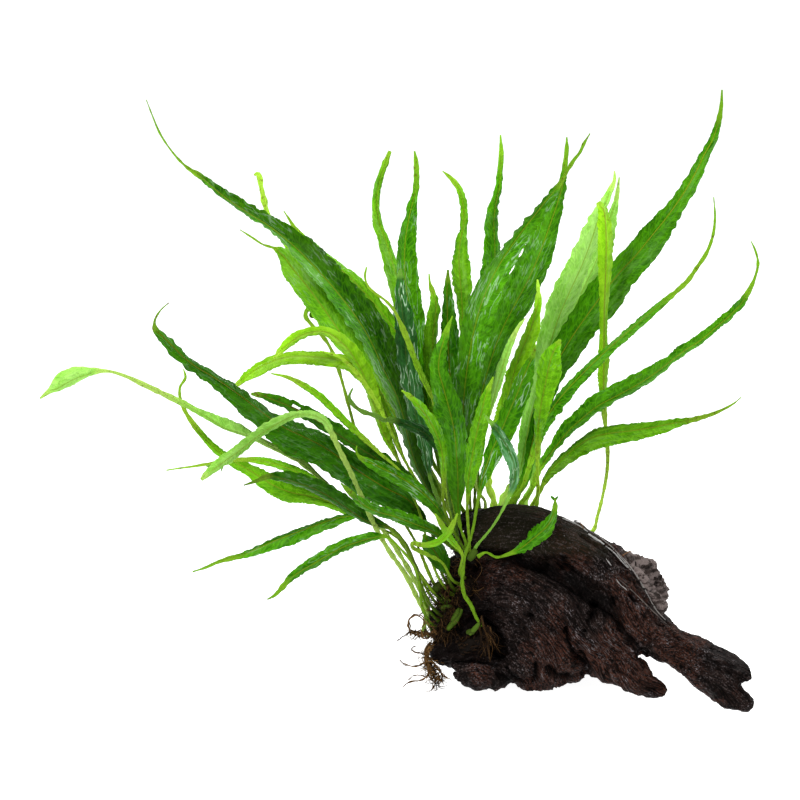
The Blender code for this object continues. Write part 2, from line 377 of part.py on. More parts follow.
def leaf_widths(row, line):
    """Places along the leaf (0 to 1), and its seen width (mm) at each."""
    far = [0.0]
    for a, b in zip(line, line[1:]):
        far.append(far[-1] + (b - a).length)
    widths = [2 * STALK_RADIUS, 2 * STALK_RADIUS, *(point[2] for point in row[-1])]
    return [f / far[-1] for f in far], widths


def make_leaf(row):
    name, _, _, _, roll, fold, _ = row
    line = leaf_route(row)
    places, widths = leaf_widths(row, line)
    stalk = next((p for p, w in zip(places, widths) if w > BLADE_FROM), 0.3)
    shares = (*LEAF_STATIONS, 1.0)
    spots = smooth_route(line, shares)
    sight = Vector((0.0, math.cos(VIEW_RISE), -math.sin(VIEW_RISE)))
    bm = bmesh.new()
    rings = []
    for i, share in enumerate(shares[:-1]):
        way = (spots[i + 1] - spots[max(0, i - 1)]).normalized()
        side = sight.cross(way).normalized()
        face = side.cross(way).normalized()
        turn = math.radians(roll) * min(1.0, share / max(stalk, 0.05))
        side, face = (side * math.cos(turn) + face * math.sin(turn),
                      face * math.cos(turn) - side * math.sin(turn))
        wide = float(np.interp(share, places, widths))
        leafy = min(1.0, max(0.0, (wide - 1.5) / 2.0))
        least = (STALK_RADIUS * (0.6 if i == 0 else 1.0)) if share < 0.5 else TIP_RADIUS
        half = max(least, wide / 2 / math.cos(math.radians(roll)))
        lift = half * math.tan(math.radians(fold)) * leafy
        thick = LEAF_THICK / 2 + 0.3 * (1 - leafy) * (0 < i and share < 0.5)
        ring = [
            spots[i] - side * half,
            spots[i] + face * (lift - thick),
            spots[i] + side * half,
            spots[i] + face * (lift + thick),
        ]
        rings.append([bm.verts.new(p * MM) for p in ring])
    tip = bm.verts.new(spots[-1] * MM)
    bm.faces.new(rings[0])
    for a, b in zip(rings, rings[1:]):
        for k in range(4):
            bm.faces.new((a[k], a[(k + 1) % 4], b[(k + 1) % 4], b[k]))
    for k in range(4):
        bm.faces.new((rings[-1][k], rings[-1][(k + 1) % 4], tip))
    add_object(name, mesh_from(bm, name), (0.09, 0.32, 0.02), 0.35)


def make_tube(name, points, radius, stations, sides, ends=0.8):
    """A closed mesh of round section along a smooth curve, with its ends narrowed to a share."""
    shares = [i / (stations - 1) for i in range(stations)]
    spots = smooth_route([Vector(p) for p in points], shares)
    bm = bmesh.new()
    rings = []
    side = None
    for i, spot in enumerate(spots):
        way = (spots[min(i + 1, stations - 1)] - spots[max(0, i - 1)]).normalized()
        side = (side or Vector((0, 0, 1)).cross(way))
        side = (side - way * side.dot(way)).normalized()
        up = way.cross(side)
        wide = radius * (ends if i in (0, stations - 1) else 1.0)
        rings.append([
            bm.verts.new((spot + wide * (side * math.cos(a) + up * math.sin(a))) * MM)
            for a in (2 * math.pi * k / sides for k in range(sides))
        ])
    bm.faces.new(rings[0])
    bm.faces.new(rings[-1])
    for a, b in zip(rings, rings[1:]):
        for k in range(sides):
            bm.faces.new((a[k], a[(k + 1) % sides], b[(k + 1) % sides], b[k]))
    return mesh_from(bm, name)


def strings_of_balls(name, strings, spread):
    """One mesh of overlapping balls along each string, close enough to fuse."""
    bm = bmesh.new()
    for string in strings:
        for (a, ra), (b, rb) in zip(string, string[1:]):
            count = max(2, math.ceil((b - a).length / (spread * min(ra, rb))))
            for k in range(count + 1):
                t = k / count
                spot = a.lerp(b, t)
                made = bmesh.ops.create_icosphere(bm, subdivisions=2, radius=(ra + (rb - ra) * t) * MM)
                bmesh.ops.translate(bm, verts=made["verts"], vec=spot * MM)
    mesh = bpy.data.meshes.new(name)
    bm.to_mesh(mesh)
    bm.free()
    return mesh


def settle(made):
    """Replaces the object's mesh by what its modifiers give."""
    graph = bpy.context.evaluated_depsgraph_get()
    mesh = bpy.data.meshes.new_from_object(made.evaluated_get(graph))
    made.modifiers.clear()
    made.data = mesh
    return made


def fuse(made, grain, faces):
    """Fuses the balls into one skin, smooths it and thins it to about `faces` triangles."""
    skin = made.modifiers.new("skin", "REMESH")
    skin.mode = "VOXEL"
    skin.voxel_size = grain * MM
    ease = made.modifiers.new("ease", "SMOOTH")
    ease.factor = 0.5
    ease.iterations = 3
    settle(made)
    made.data.calc_loop_triangles()
    thin = made.modifiers.new("thin", "DECIMATE")
    thin.ratio = min(1.0, faces / len(made.data.loop_triangles))
    return settle(made)


def cut(made, cutter, operation):
    step = made.modifiers.new("cut", "BOOLEAN")
    step.object = cutter
    step.operation = operation
    step.solver = "EXACT"
    bpy.context.view_layer.update()
    settle(made)


def block(name, size, spot, outward):
    """A guide block, level across, that begins at `spot` and reaches size[2] along `outward`."""
    out = Vector(outward).normalized()
    side = Vector((out.y, -out.x, 0.0)) if abs(out.z) < 0.9 else Vector((1.0, 0.0, 0.0))
    side.normalize()
    rise = out.cross(side)
    bm = bmesh.new()
    bmesh.ops.create_cube(bm, size=1.0)
    for vert in bm.verts:
        x, y, z = vert.co.x * size[0], vert.co.y * size[1], (vert.co.z + 0.5) * size[2]
        vert.co = (Vector(spot) + side * x + rise * y + out * z) * MM
    made = bpy.data.objects.new(name, mesh_from(bm, name))
    bpy.context.scene.collection.objects.link(made)
    made.hide_render = True
    made.display_type = "WIRE"
    return made


def keep_largest(made):
    """Drops crumbs that a cut leaves beside the main body."""
    bm = bmesh.new()
    bm.from_mesh(made.data)
    left = set(bm.verts)
    bodies = []
    while left:
        todo = [left.pop()]
        body = set(todo)
        while todo:
            for edge in todo.pop().link_edges:
                for vert in edge.verts:
                    if vert not in body:
                        body.add(vert)
                        left.discard(vert)
                        todo.append(vert)
        bodies.append(body)
    bodies.sort(key=len)
    for body in bodies[:-1]:
        bmesh.ops.delete(bm, geom=list(body), context="VERTS")
    bm.to_mesh(made.data)
    bm.free()


def make_wood(guides):
    strings = [[(seen(a, u, b), r) for a, u, b, r in string]
               for string in (*TRUNK, LONG_ARM, MIDDLE_PRONG, BACK_KNOB)]
    whole = bpy.data.objects.new("wood_guide", strings_of_balls("wood_guide", strings, 0.5))
    bpy.context.scene.collection.objects.link(whole)
    fuse(whole, WOOD_GRAIN, WOOD_FACES)
    floor = block("floor_guide", (400, 400, 60), (0, 0, 0), (0, 0, -1))
    cut(whole, floor, "DIFFERENCE")
    for guide in guides:
        cut(whole, guide, "DIFFERENCE")
    keep_largest(whole)
    for name, (spot, outward, wide, tall, reach) in FORKS.items():
        claim = block(f"{name}_guide", (wide, tall, reach), spot, outward)
        limb = whole.copy()
        limb.data = whole.data.copy()
        limb.name = name
        bpy.context.scene.collection.objects.link(limb)
        cut(limb, claim, "INTERSECT")
        keep_largest(limb)
        limb.data.materials.clear()
        limb.data.materials.append(material(f"{name}_finish", (0.02, 0.012, 0.01), 0.35))
        nearer = Vector(spot) - Vector(outward).normalized() * GAP
        bigger = block(
            f"{name}_gap_guide", (wide + 2 * GAP, tall + 2 * GAP, reach + 2 * GAP), nearer, outward
        )
        cut(whole, bigger, "DIFFERENCE")
        keep_largest(whole)
        bpy.data.objects.remove(claim)
        bpy.data.objects.remove(bigger)
    whole.name = "wood_trunk"
    whole.data.materials.clear()
    whole.data.materials.append(material("wood_trunk_finish", (0.018, 0.011, 0.009), 0.35))
    bpy.data.objects.remove(floor)


def main():
    for old in list(bpy.data.objects):
        bpy.data.objects.remove(old)
    guides = []
    for name, (points, radius) in RHIZOMES.items():
        mesh = make_tube(name, points, radius, 5 + 2 * len(points), 10)
        add_object(name, mesh, (0.03, 0.02, 0.01), 0.6)
        line = [Vector(p) for p in points]
        line[0] += (line[0] - line[1]).normalized() * GAP
        line[-1] += (line[-1] - line[-2]).normalized() * GAP
        groove = make_tube(f"{name}_guide", line, radius + GAP, 5 + 2 * len(points), 10, ends=0.95)
        guide = bpy.data.objects.new(f"{name}_guide", groove)
        bpy.context.scene.collection.objects.link(guide)
        guides.append(guide)
    for name, strings in ROOTS.items():
        balls = [[(Vector(p[:3]), p[3]) for p in string] for string in strings]
        made = add_object(name, strings_of_balls(name, balls, 0.5), (0.05, 0.025, 0.012), 0.6)
        fuse(made, 0.8, 380)
        made.data.materials.clear()
        made.data.materials.append(material(f"{name}_bark", (0.05, 0.025, 0.012), 0.6))
    make_wood(guides)
    for guide in guides:
        bpy.data.objects.remove(guide)
    for row in LEAVES:
        make_leaf(row)


main()
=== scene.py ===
"""Java fern on driftwood: long ruffled leaves fanned from a creeping stem on a soaked, forked stump."""

from __future__ import annotations

import logging
import math
import random
from collections.abc import Sequence
from dataclasses import dataclass, field
from enum import Enum

import bmesh
import bpy
import numpy as np
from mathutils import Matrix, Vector, noise
from mathutils.bvhtree import BVHTree


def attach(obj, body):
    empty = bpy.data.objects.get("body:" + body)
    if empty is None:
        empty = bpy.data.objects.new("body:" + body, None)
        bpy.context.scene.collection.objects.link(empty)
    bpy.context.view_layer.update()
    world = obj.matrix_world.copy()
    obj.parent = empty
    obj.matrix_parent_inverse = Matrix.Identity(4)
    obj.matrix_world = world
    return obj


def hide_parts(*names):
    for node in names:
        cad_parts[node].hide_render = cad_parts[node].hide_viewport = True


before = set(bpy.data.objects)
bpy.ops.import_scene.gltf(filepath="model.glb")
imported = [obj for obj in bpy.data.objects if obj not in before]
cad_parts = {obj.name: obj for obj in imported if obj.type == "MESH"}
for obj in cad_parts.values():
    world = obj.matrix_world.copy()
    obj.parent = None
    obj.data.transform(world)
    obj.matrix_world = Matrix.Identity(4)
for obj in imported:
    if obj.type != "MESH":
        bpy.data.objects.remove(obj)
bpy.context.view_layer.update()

log = logging.getLogger("java_fern")

Colour = tuple[float, float, float]
Point = tuple[float, float, float]
Place = tuple[float, float]
Mask = tuple[float, float, float, float]

MM = 0.001

# The map of a surface holds millimetres times this
MAP_SCALE = 0.01

# Side veins run back by this share of their distance from the middle vein
VEIN_LEAN = 1.2

# The names of the slots that are no leaf's
WOOD_SLOT = "wet_driftwood"
ROOT_SLOT = "roots"
STEM_SLOT = "rhizome"


class Tone(Enum):
    """The leaf finishes, by material slot."""

    GLOSSY = "glossy_green"
    DARK = "dark_green"
    FRESH = "fresh_green"
    YELLOW = "yellow_green"
    PALE = "pale_green"
    BLUE = "blue_green"


class Crown(Enum):
    """The lengths of creeping stem that leaves grow from."""

    LOWER = "lower"
    UPPER = "upper"
    FRONT = "front"


# How the plant is laid out


@dataclass(frozen=True)
class ViewPlane:
    """The plane the plant is laid out on, seen from far in front and a little above.

    Attributes:
        rise: angle of the line of sight above level, in radians.
        far: distance of the eye, in mm.
        across: where the sight line meets the plane, to the right of the origin, in mm.
        up: where the sight line meets the plane, above the origin, in mm.
    """

    rise: float = math.radians(12.0)
    far: float = 1777.8
    across: float = -48.0
    up: float = 112.4

    @property
    def upward(self) -> Vector:
        """The plane's own upward direction."""
        return Vector((0.0, math.sin(self.rise), math.cos(self.rise)))

    @property
    def ahead(self) -> Vector:
        """The direction of sight."""
        return Vector((0.0, math.cos(self.rise), -math.sin(self.rise)))

    @property
    def centre(self) -> Vector:
        """The point looked at, in mm."""
        return Vector((self.across, 0.0, 0.0)) + self.up * self.upward

    @property
    def eye(self) -> Vector:
        """Where the eye is, in mm."""
        return self.centre - self.far * self.ahead

    def seen(self, across: float, up: float, back: float) -> Vector:
        """Finds a point from where it is seen.

        Args:
            across: its place to the right on the plane, in mm.
            up: its place up the plane, in mm.
            back: how far behind the origin it lies, in mm.

        Returns:
            The point, in mm.
        """
        ray = Vector((across, 0.0, 0.0)) + up * self.upward - self.eye
        return self.eye + ray * ((back - self.eye.y) / ray.y)

    def project(self, spots: np.ndarray) -> np.ndarray:
        """Finds where points are seen on the plane.

        Args:
            spots: an array of points, in mm.

        Returns:
            Their places across and up the plane, in mm.
        """
        ray = spots - np.array(self.eye)
        ahead = np.array(self.ahead)
        scale = self.far / (ray @ ahead)
        across = ray[:, 0] * scale + self.across
        up = (ray @ np.array(self.upward)) * scale + self.up
        return np.stack([across, up], axis=1)


VIEW = ViewPlane()


def distances(line: np.ndarray) -> np.ndarray:
    """How far along a line of points each of them lies."""
    return np.concatenate([[0.0], np.cumsum(np.linalg.norm(np.diff(line, axis=0), axis=1))])


def smooth_route(points: Sequence[Sequence[float]], shares: np.ndarray | int) -> np.ndarray:
    """Samples a smooth curve through points.

    Args:
        points: what the curve passes through.
        shares: the places to sample, as shares of its length, or how many evenly spread ones.

    Returns:
        An array of points.
    """
    if isinstance(shares, int):
        shares = np.linspace(0, 1, shares)
    line = np.array([tuple(p) for p in points], float)
    gaps = np.linalg.norm(np.diff(line, axis=0), axis=1)
    speeds = np.diff(line, axis=0) / gaps[:, None]
    slopes = np.empty_like(line)
    slopes[0], slopes[-1] = speeds[0], speeds[-1]
    before, after = gaps[:-1, None], gaps[1:, None]
    slopes[1:-1] = (speeds[:-1] * after + speeds[1:] * before) / (before + after)
    pieces = 24
    t = (np.arange(pieces) / pieces)[None, :, None]
    a, b = line[:-1, None], line[1:, None]
    u, v = slopes[:-1, None] * gaps[:, None, None], slopes[1:, None] * gaps[:, None, None]
    curve = a * (2 * t**3 - 3 * t**2 + 1) + b * (3 * t**2 - 2 * t**3)
    curve = curve + u * (t**3 - 2 * t**2 + t) + v * (t**3 - t**2)
    fine = np.concatenate([curve.reshape(-1, 3), line[-1:]])
    far = distances(fine)
    return np.stack([np.interp(shares * far[-1], far, column) for column in fine.T], axis=1)


def smoothed(rows: np.ndarray, weights: np.ndarray) -> np.ndarray:
    """Evens out rows of values with a sliding mean.

    Args:
        rows: the values, one track in each column.
        weights: an odd number of weights, evened to a sum of one here.

    Returns:
        As many rows.
    """
    reach = len(weights) // 2
    padded = np.pad(rows, ((reach, reach), (0, 0)), mode="edge")
    share = weights / weights.sum()
    return np.stack([np.convolve(column, share, "valid") for column in padded.T], axis=1)


def chance(spots: np.ndarray, scale: float | Point = 1.0) -> np.ndarray:
    """Smooth noise from -1 to 1 at each point, taken at the point times the scale."""
    return np.array([noise.noise(Vector(p)) for p in spots * np.array(scale)])


def unit(rows: np.ndarray) -> np.ndarray:
    """Each row scaled to length one."""
    return rows / np.maximum(np.linalg.norm(rows, axis=-1, keepdims=True), 1e-9)


def ramp(value: np.ndarray | float, low: float, high: float) -> np.ndarray:
    """A smooth step from 0 at low to 1 at high."""
    t = np.clip((np.asarray(value, float) - low) / (high - low), 0.0, 1.0)
    return t * t * (3 - 2 * t)


# Meshes and materials


def new_object(name: str, data: bpy.types.ID | None) -> bpy.types.Object:
    """Adds an object to the scene.

    Args:
        name: its name.
        data: what it shows.

    Returns:
        The object.
    """
    made = bpy.data.objects.new(name, data)
    bpy.context.scene.collection.objects.link(made)
    return made


def take_mesh(name: str, bm: bmesh.types.BMesh) -> bpy.types.Mesh:
    """Turns an edit mesh into a mesh.

    Args:
        name: the mesh's name.
        bm: the edit mesh, which is freed.

    Returns:
        The mesh.
    """
    mesh = bpy.data.meshes.new(name)
    bm.to_mesh(mesh)
    bm.free()
    return mesh


def paint(mesh: bpy.types.Mesh, name: str, rows: np.ndarray) -> None:
    """Stores a colour mask, four numbers at each point of a mesh."""
    mask = mesh.color_attributes.new(name, "FLOAT_COLOR", "POINT")
    mask.data.foreach_set("color", rows.astype(np.float32).ravel())


def bark(light: float, green: float = 0.0) -> Mask:
    """The colour mask of a root or a stem, from how light and how green it is."""
    return light, 0.5, green, 0.0


def scaled(colour: Colour, share: float) -> Colour:
    """A colour made lighter or darker, and kept within 1."""
    return tuple(min(1.0, c * share) for c in colour)


@dataclass
class Skin:
    """Gathers rings of points into one mesh, with two colour masks and a map of the surface.

    Attributes:
        name: the object's name.
        slot: the record's material slot.
        nodes: the frame nodes that it stands for.
        verts: the points so far, in mm.
        faces: the faces so far.
        dress: the mask of each point that its finish takes its colour from.
        painted_light_and_marks: the mask of the painted sheen, glints and shade and of the marks on the
            surface there.
        flat: where each point lies on the surface, times the map's scale.
        count: how many points there are.
    """

    name: str
    slot: str
    nodes: tuple[str, ...] = ()
    verts: list[np.ndarray] = field(default_factory=list)
    faces: list[tuple[int, ...]] = field(default_factory=list)
    dress: list[np.ndarray] = field(default_factory=list)
    painted_light_and_marks: list[np.ndarray] = field(default_factory=list)
    flat: list[np.ndarray] = field(default_factory=list)
    count: int = 0

    def loft(self, rings: np.ndarray, dress: np.ndarray, flat: np.ndarray,
             painted_light_and_marks: np.ndarray | None = None, hole: tuple[int, int, int, int] | None = None) -> None:
        """Adds a closed loft through rings of points.

        Args:
            rings: points (stations, points round, 3), in mm.
            dress: colour masks of the same stations and points (..., 4).
            flat: places on the surface (..., 2).
            painted_light_and_marks: masks of the painted sheen, glints and shade and of the marks on the
                surface (..., 4), or nothing.
            hole: first and last station, first and last column of a hole right through, if any.
        """
        long, wide = rings.shape[:2]
        start = self.count
        self.verts.append(rings.reshape(-1, 3))
        self.dress.append(dress.reshape(-1, 4))
        self.painted_light_and_marks.append(np.zeros((long * wide, 4)) if painted_light_and_marks is None else painted_light_and_marks.reshape(-1, 4))
        self.flat.append(flat.reshape(-1, 2))
        self.count += long * wide
        i0, i1, k0, k1 = hole or (0, 0, 0, 0)
        for i in range(long - 1):
            a, b = start + i * wide, start + (i + 1) * wide
            for k in range(wide):
                m = (k + 1) % wide
                if i0 <= i < i1 and (k0 <= k < k1 or k0 <= wide - 1 - k < k1):
                    continue
                self.faces.append((a + k, a + m, b + m, b + k))
        if hole:
            ring = [(i, k0) for i in range(i0, i1)] + [(i1, k) for k in range(k0, k1)]
            ring += [(i, k1) for i in range(i1, i0, -1)] + [(i0, k) for k in range(k1, k0, -1)]
            for (i, k), (j, m) in zip(ring, ring[1:] + ring[:1]):
                self.faces.append((start + i * wide + k, start + j * wide + m,
                                   start + j * wide + wide - m, start + i * wide + wide - k))
        self.faces.append(tuple(start + k for k in reversed(range(wide))))
        self.faces.append(tuple(start + (long - 1) * wide + k for k in range(wide)))

    def tube(self, line: np.ndarray, radii: np.ndarray, dress: Mask, sides: int = 6) -> None:
        """Adds a round tube.

        Args:
            line: points along its middle, in mm.
            radii: its radius at each point, in mm.
            dress: the colour mask of all of it.
            sides: points round it.
        """
        way = unit(np.gradient(line, axis=0))
        side = np.zeros_like(way)
        last = np.cross(way[0], [0.31, 0.52, 0.8])
        for i, w in enumerate(way):
            last = last - w * (last @ w)
            last = last / max(np.linalg.norm(last), 1e-9)
            side[i] = last
        up = np.cross(way, side)
        turn = 2 * np.pi * np.arange(sides) / sides
        round_ = side[:, None] * np.cos(turn)[:, None] + up[:, None] * np.sin(turn)[:, None]
        rings = line[:, None] + radii[:, None, None] * round_
        mask = np.broadcast_to(np.array(dress, float), (*rings.shape[:2], 4))
        flat = np.stack(np.broadcast_arrays(turn * radii.mean(), distances(line)[:, None]), axis=-1)
        self.loft(rings, mask, flat * MAP_SCALE)

    def build(self, material: bpy.types.Material) -> bpy.types.Object:
        """Makes the object, which rides on the stump.

        Args:
            material: its finish.

        Returns:
            The object.
        """
        mesh = bpy.data.meshes.new(self.name)
        mesh.from_pydata((np.concatenate(self.verts) * MM).tolist(), [], self.faces)
        mesh.validate()
        made = new_object(self.name, mesh)
        bm = bmesh.new()
        bm.from_mesh(mesh)
        bm.normal_update()
        bmesh.ops.recalc_face_normals(bm, faces=bm.faces)
        bm.to_mesh(mesh)
        bm.free()
        paint(mesh, "dress", np.concatenate(self.dress))
        paint(mesh, "painted_light_and_marks", np.concatenate(self.painted_light_and_marks))
        flat = np.concatenate(self.flat).astype(np.float32)
        corner = np.empty(len(mesh.loops), dtype=np.int32)
        mesh.loops.foreach_get("vertex_index", corner)
        mesh.uv_layers.new(name="flat").data.foreach_set("uv", flat[corner].ravel())
        mesh.shade_smooth()
        mesh.materials.append(material)
        return settle_piece(made, self.slot, self.nodes)


def settle_piece(made: bpy.types.Object, slot: str, nodes: tuple[str, ...]) -> bpy.types.Object:
    """Declares a piece to the frame.

    Args:
        made: the piece.
        slot: the record's material slot; not used.
        nodes: the frame nodes that it stands for.

    Returns:
        The same object.
    """
    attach(made, "root")
    if nodes:
        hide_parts(*nodes)
    log.info("%s: %d faces", made.name, len(made.data.polygons))
    return made


class Shader:
    """A material's node tree, built in short calls."""

    def __init__(self, name: str) -> None:
        """Starts a Principled material.

        Args:
            name: the material's name.
        """
        self.material = bpy.data.materials.new(name)
        self.material.use_nodes = True
        self.tree = self.material.node_tree
        self.main = self.tree.nodes["Principled BSDF"]

    def add(self, kind: str, settings: dict | None = None, **inputs: object) -> bpy.types.Node:
        """Adds a node.

        Args:
            kind: its type, without the leading ShaderNode.
            settings: its properties.
            inputs: values or sockets by input name, with _ for spaces, or i0, i1 for places.

        Returns:
            The node.
        """
        node = self.tree.nodes.new("ShaderNode" + kind)
        for key, value in (settings or {}).items():
            setattr(node, key, value)
        for key, value in inputs.items():
            place = int(key[1:]) if key[0] == "i" and key[1:].isdigit() else key.replace("_", " ")
            self.put(node.inputs[place], value)
        return node

    def put(self, socket: bpy.types.NodeSocket, value: object) -> None:
        """Links a socket or sets its value.

        Args:
            socket: the socket.
            value: another socket, a colour or a number.
        """
        if isinstance(value, bpy.types.NodeSocket):
            self.tree.links.new(value, socket)
        elif isinstance(value, tuple) and len(value) == 3 and socket.type == "RGBA":
            socket.default_value = (*value, 1.0)
        else:
            socket.default_value = value

    def place(self) -> bpy.types.NodeSocket:
        """Where on the object a point lies, in metres."""
        return self.add("TexCoord").outputs["Object"]

    def channels(self, name: str) -> tuple[bpy.types.NodeSocket, ...]:
        """Reads a colour mask.

        Args:
            name: the mask's name.

        Returns:
            Its four channels.
        """
        mask = self.add("Attribute", {"attribute_name": name})
        parts = self.add("SeparateColor", None, i0=mask.outputs["Color"])
        return *parts.outputs[:3], mask.outputs["Alpha"]

    def join(self, x: object, y: object, z: object) -> bpy.types.NodeSocket:
        """A vector of three values."""
        return self.add("CombineXYZ", None, i0=x, i1=y, i2=z).outputs[0]

    def math(self, kind: str, a: object, b: object = 0.0, c: object = 0.0) -> bpy.types.NodeSocket:
        """The result of a math operation, which goes by name."""
        return self.add("Math", {"operation": kind}, i0=a, i1=b, i2=c).outputs[0]

    def times(self, a: object, b: object) -> bpy.types.NodeSocket:
        """One value times another."""
        return self.math("MULTIPLY", a, b)

    def level(self, value: object, share: float, start: object) -> bpy.types.NodeSocket:
        """A share of a value, laid on top of a start."""
        return self.math("MULTIPLY_ADD", value, share, start)

    def mixed(self, first: tuple[object, float], *others: tuple[object, float]) -> bpy.types.NodeSocket:
        """Adds up values.

        Args:
            first: a value and its share.
            others: the same of each of the rest.

        Returns:
            The sum.
        """
        total = self.times(*first)
        for value, share in others:
            total = self.level(value, share, total)
        return total

    def line_of(self, value: object) -> bpy.types.NodeSocket:
        """How far a noise is from its middle: small along thin winding lines."""
        return self.math("ABSOLUTE", self.math("SUBTRACT", value, 0.5))

    def blend(self, share: object, a: object, b: object, kind: str = "MIX") -> bpy.types.NodeSocket:
        """Blends two colours.

        Args:
            share: how much of the second.
            a: the first colour.
            b: the second colour.
            kind: the blend type.

        Returns:
            The colour socket.
        """
        node = self.add("Mix", {"data_type": "RGBA", "blend_type": kind}, i0=share, i6=a, i7=b)
        return node.outputs[2]

    def step(self, value: object, low: float, high: float) -> bpy.types.NodeSocket:
        """A smooth step of a value from 0 at low to 1 at high, also where high is the lesser."""
        node = self.add("MapRange", {"interpolation_type": "SMOOTHSTEP"}, Value=value,
                        From_Min=low, From_Max=high)
        return node.outputs[0]

    def speckle(self, where: object, scale: float, detail: float = 2.0) -> bpy.types.NodeSocket:
        """Noise of a scale at a place, from 0 to 1."""
        return self.add("TexNoise", None, Vector=where, Scale=scale, Detail=detail).outputs[0]

    def patches(self, where: object, scale: float, detail: float, low: float,
                high: float) -> bpy.types.NodeSocket:
        """Patches with soft edges: noise that is stepped from 0 at low to 1 at high."""
        return self.step(self.speckle(where, scale, detail), low, high)

    def surface(self, colour: object, rough: object, height: object, deep: float, strength: float,
                specular: float, coat: tuple[float, float] = (0.0, 0.0)) -> bpy.types.Material:
        """Sets the finished surface.

        Args:
            colour: its colour.
            rough: its roughness.
            height: its relief, as a value.
            deep: the depth of the relief, in metres.
            strength: how strongly the relief bends the light, 0 to 1.
            specular: how much it reflects.
            coat: how much watery clear coat lies on it, and how rough the coat is.

        Returns:
            The material.
        """
        bumped = self.add("Bump", None, Height=height, Distance=deep, Strength=strength).outputs[0]
        for name, value in (("Base Color", colour), ("Roughness", rough), ("Normal", bumped),
                            ("Specular IOR Level", specular), ("Coat Weight", coat[0]),
                            ("Coat Roughness", coat[1])):
            self.put(self.main.inputs[name], value)
        return self.material


@dataclass(frozen=True)
class LeafFinish:
    """The look of one kind of leaf.

    Attributes:
        tone: its name and slot.
        deep: colour in the hollows between veins.
        light: colour on the swells.
        rib: colour of the middle vein.
        stem: colour of the stalk.
        rough: roughness of the surface.
        veins: how strongly the side veins show.
        painted_sheen: colour of the painted sheen, a grey-white highlight laid on some halves.
        coat: how much watery clear coat lies on it.
        film_rough: roughness of the watery coat.
        specular: how much it reflects.
        glint: colour of the painted glints, fine highlights of the watery surface.
        spot: colour of the brown spots.
    """

    tone: Tone
    deep: Colour
    light: Colour
    rib: Colour
    stem: Colour
    rough: float
    veins: float
    painted_sheen: Colour
    coat: float = 0.02
    film_rough: float = 0.12
    specular: float = 0.012
    glint: Colour = (0.34, 0.50, 0.32)
    spot: Colour = (0.06, 0.02, 0.005)

    def build(self) -> bpy.types.Material:
        """Makes the material.

        Returns:
            The material.
        """
        s = Shader(self.tone.value)
        place = s.place()
        stalk, shade, brown, rim = s.channels("dress")
        painted_sheen_mask, painted_glint_amount, ribbed, _ = s.channels("painted_light_and_marks")

        # Where on the blade a point lies, in mm, and places drawn out along it
        flat = s.add("SeparateXYZ", None, i0=s.add("UVMap", {"uv_map": "flat"}).outputs[0])
        across, along = (s.times(flat.outputs[i], 1 / MAP_SCALE) for i in range(2))
        out = s.math("ABSOLUTE", across)
        wander = s.speckle(place, 150.0)
        slant = s.level(out, -VEIN_LEAN, along)
        drawn = s.join(across, s.times(along, 0.13), s.times(wander, 1.6))
        skew = s.join(out, s.times(slant, 0.62), wander)

        # Side veins, the net between them, streaks and patches
        wave = s.math("SINE", s.mixed((slant, 1.3), (wander, 9.1)))
        vein = s.times(s.step(wave, 0.90, 1.0), s.step(out, 0.3, 0.9))
        cells = s.add("TexVoronoi", {"feature": "DISTANCE_TO_EDGE", "voronoi_dimensions": "3D"},
                      Vector=skew, Scale=0.50)
        net = s.step(cells.outputs["Distance"], 0.13, 0.03)
        streak = s.speckle(drawn, 0.8, 3.0)
        patch = s.patches(place, 42.0, 2.0, 0.34, 0.66)
        tint = s.mixed((patch, 0.5), (s.step(streak, 0.36, 0.64), 0.5))
        green = s.blend(tint, self.deep, self.light)
        lines = s.times(s.math("MAXIMUM", vein, s.times(net, 0.8)), self.veins)
        green = s.blend(lines, green, scaled(self.light, 1.7))
        green = s.blend(s.times(rim, 0.35), green, scaled(self.light, 1.3))

        # Painted sheen and thin painted glints of the watery surface, both drawn out along the leaf
        painted_sheen_streaks = s.level(s.patches(drawn, 0.85, 4.0, 0.42, 0.60), 0.93, 0.07)
        painted_sheen_streaks = s.times(s.times(painted_sheen_streaks, painted_sheen_mask), s.level(patch, 0.5, 0.5))
        green = s.blend(painted_sheen_streaks, green, self.painted_sheen)
        # Painted glints: thin pale lines in patches, painted highlights of the watery leaf
        thread = s.step(s.line_of(s.speckle(drawn, 0.62, 1.0)), 0.036, 0.010)
        gleam = s.times(s.times(thread, s.patches(place, 85.0, 2.0, 0.44, 0.55)), painted_glint_amount)
        green = s.blend(gleam, green, self.glint)

        # Middle vein, stalk, brown spots, and the shade that the mask asks for, painted shade and light
        # among it
        rib = s.step(out, 0.30, 0.16)
        green = s.blend(s.times(rib, ribbed), green, self.rib)
        green = s.blend(stalk, green, self.stem)
        green = s.blend(s.times(s.patches(place, 560.0, 3.0, 0.60, 0.67), brown), green, self.spot)
        twice = s.times(shade, 2.0)
        dim = s.add("CombineColor", None, i0=twice, i1=twice, i2=twice).outputs[0]
        green = s.blend(1.0, green, dim, "MULTIPLY")
        rough = s.level(s.speckle(place, 260.0), 0.3, self.rough - 0.15)
        height = s.mixed((streak, 0.8), (net, 0.25), (s.step(wave, -1.0, 1.0), 0.4), (rib, -0.5))
        return s.surface(green, rough, height, 0.0005, 0.9, self.specular, (self.coat, self.film_rough))


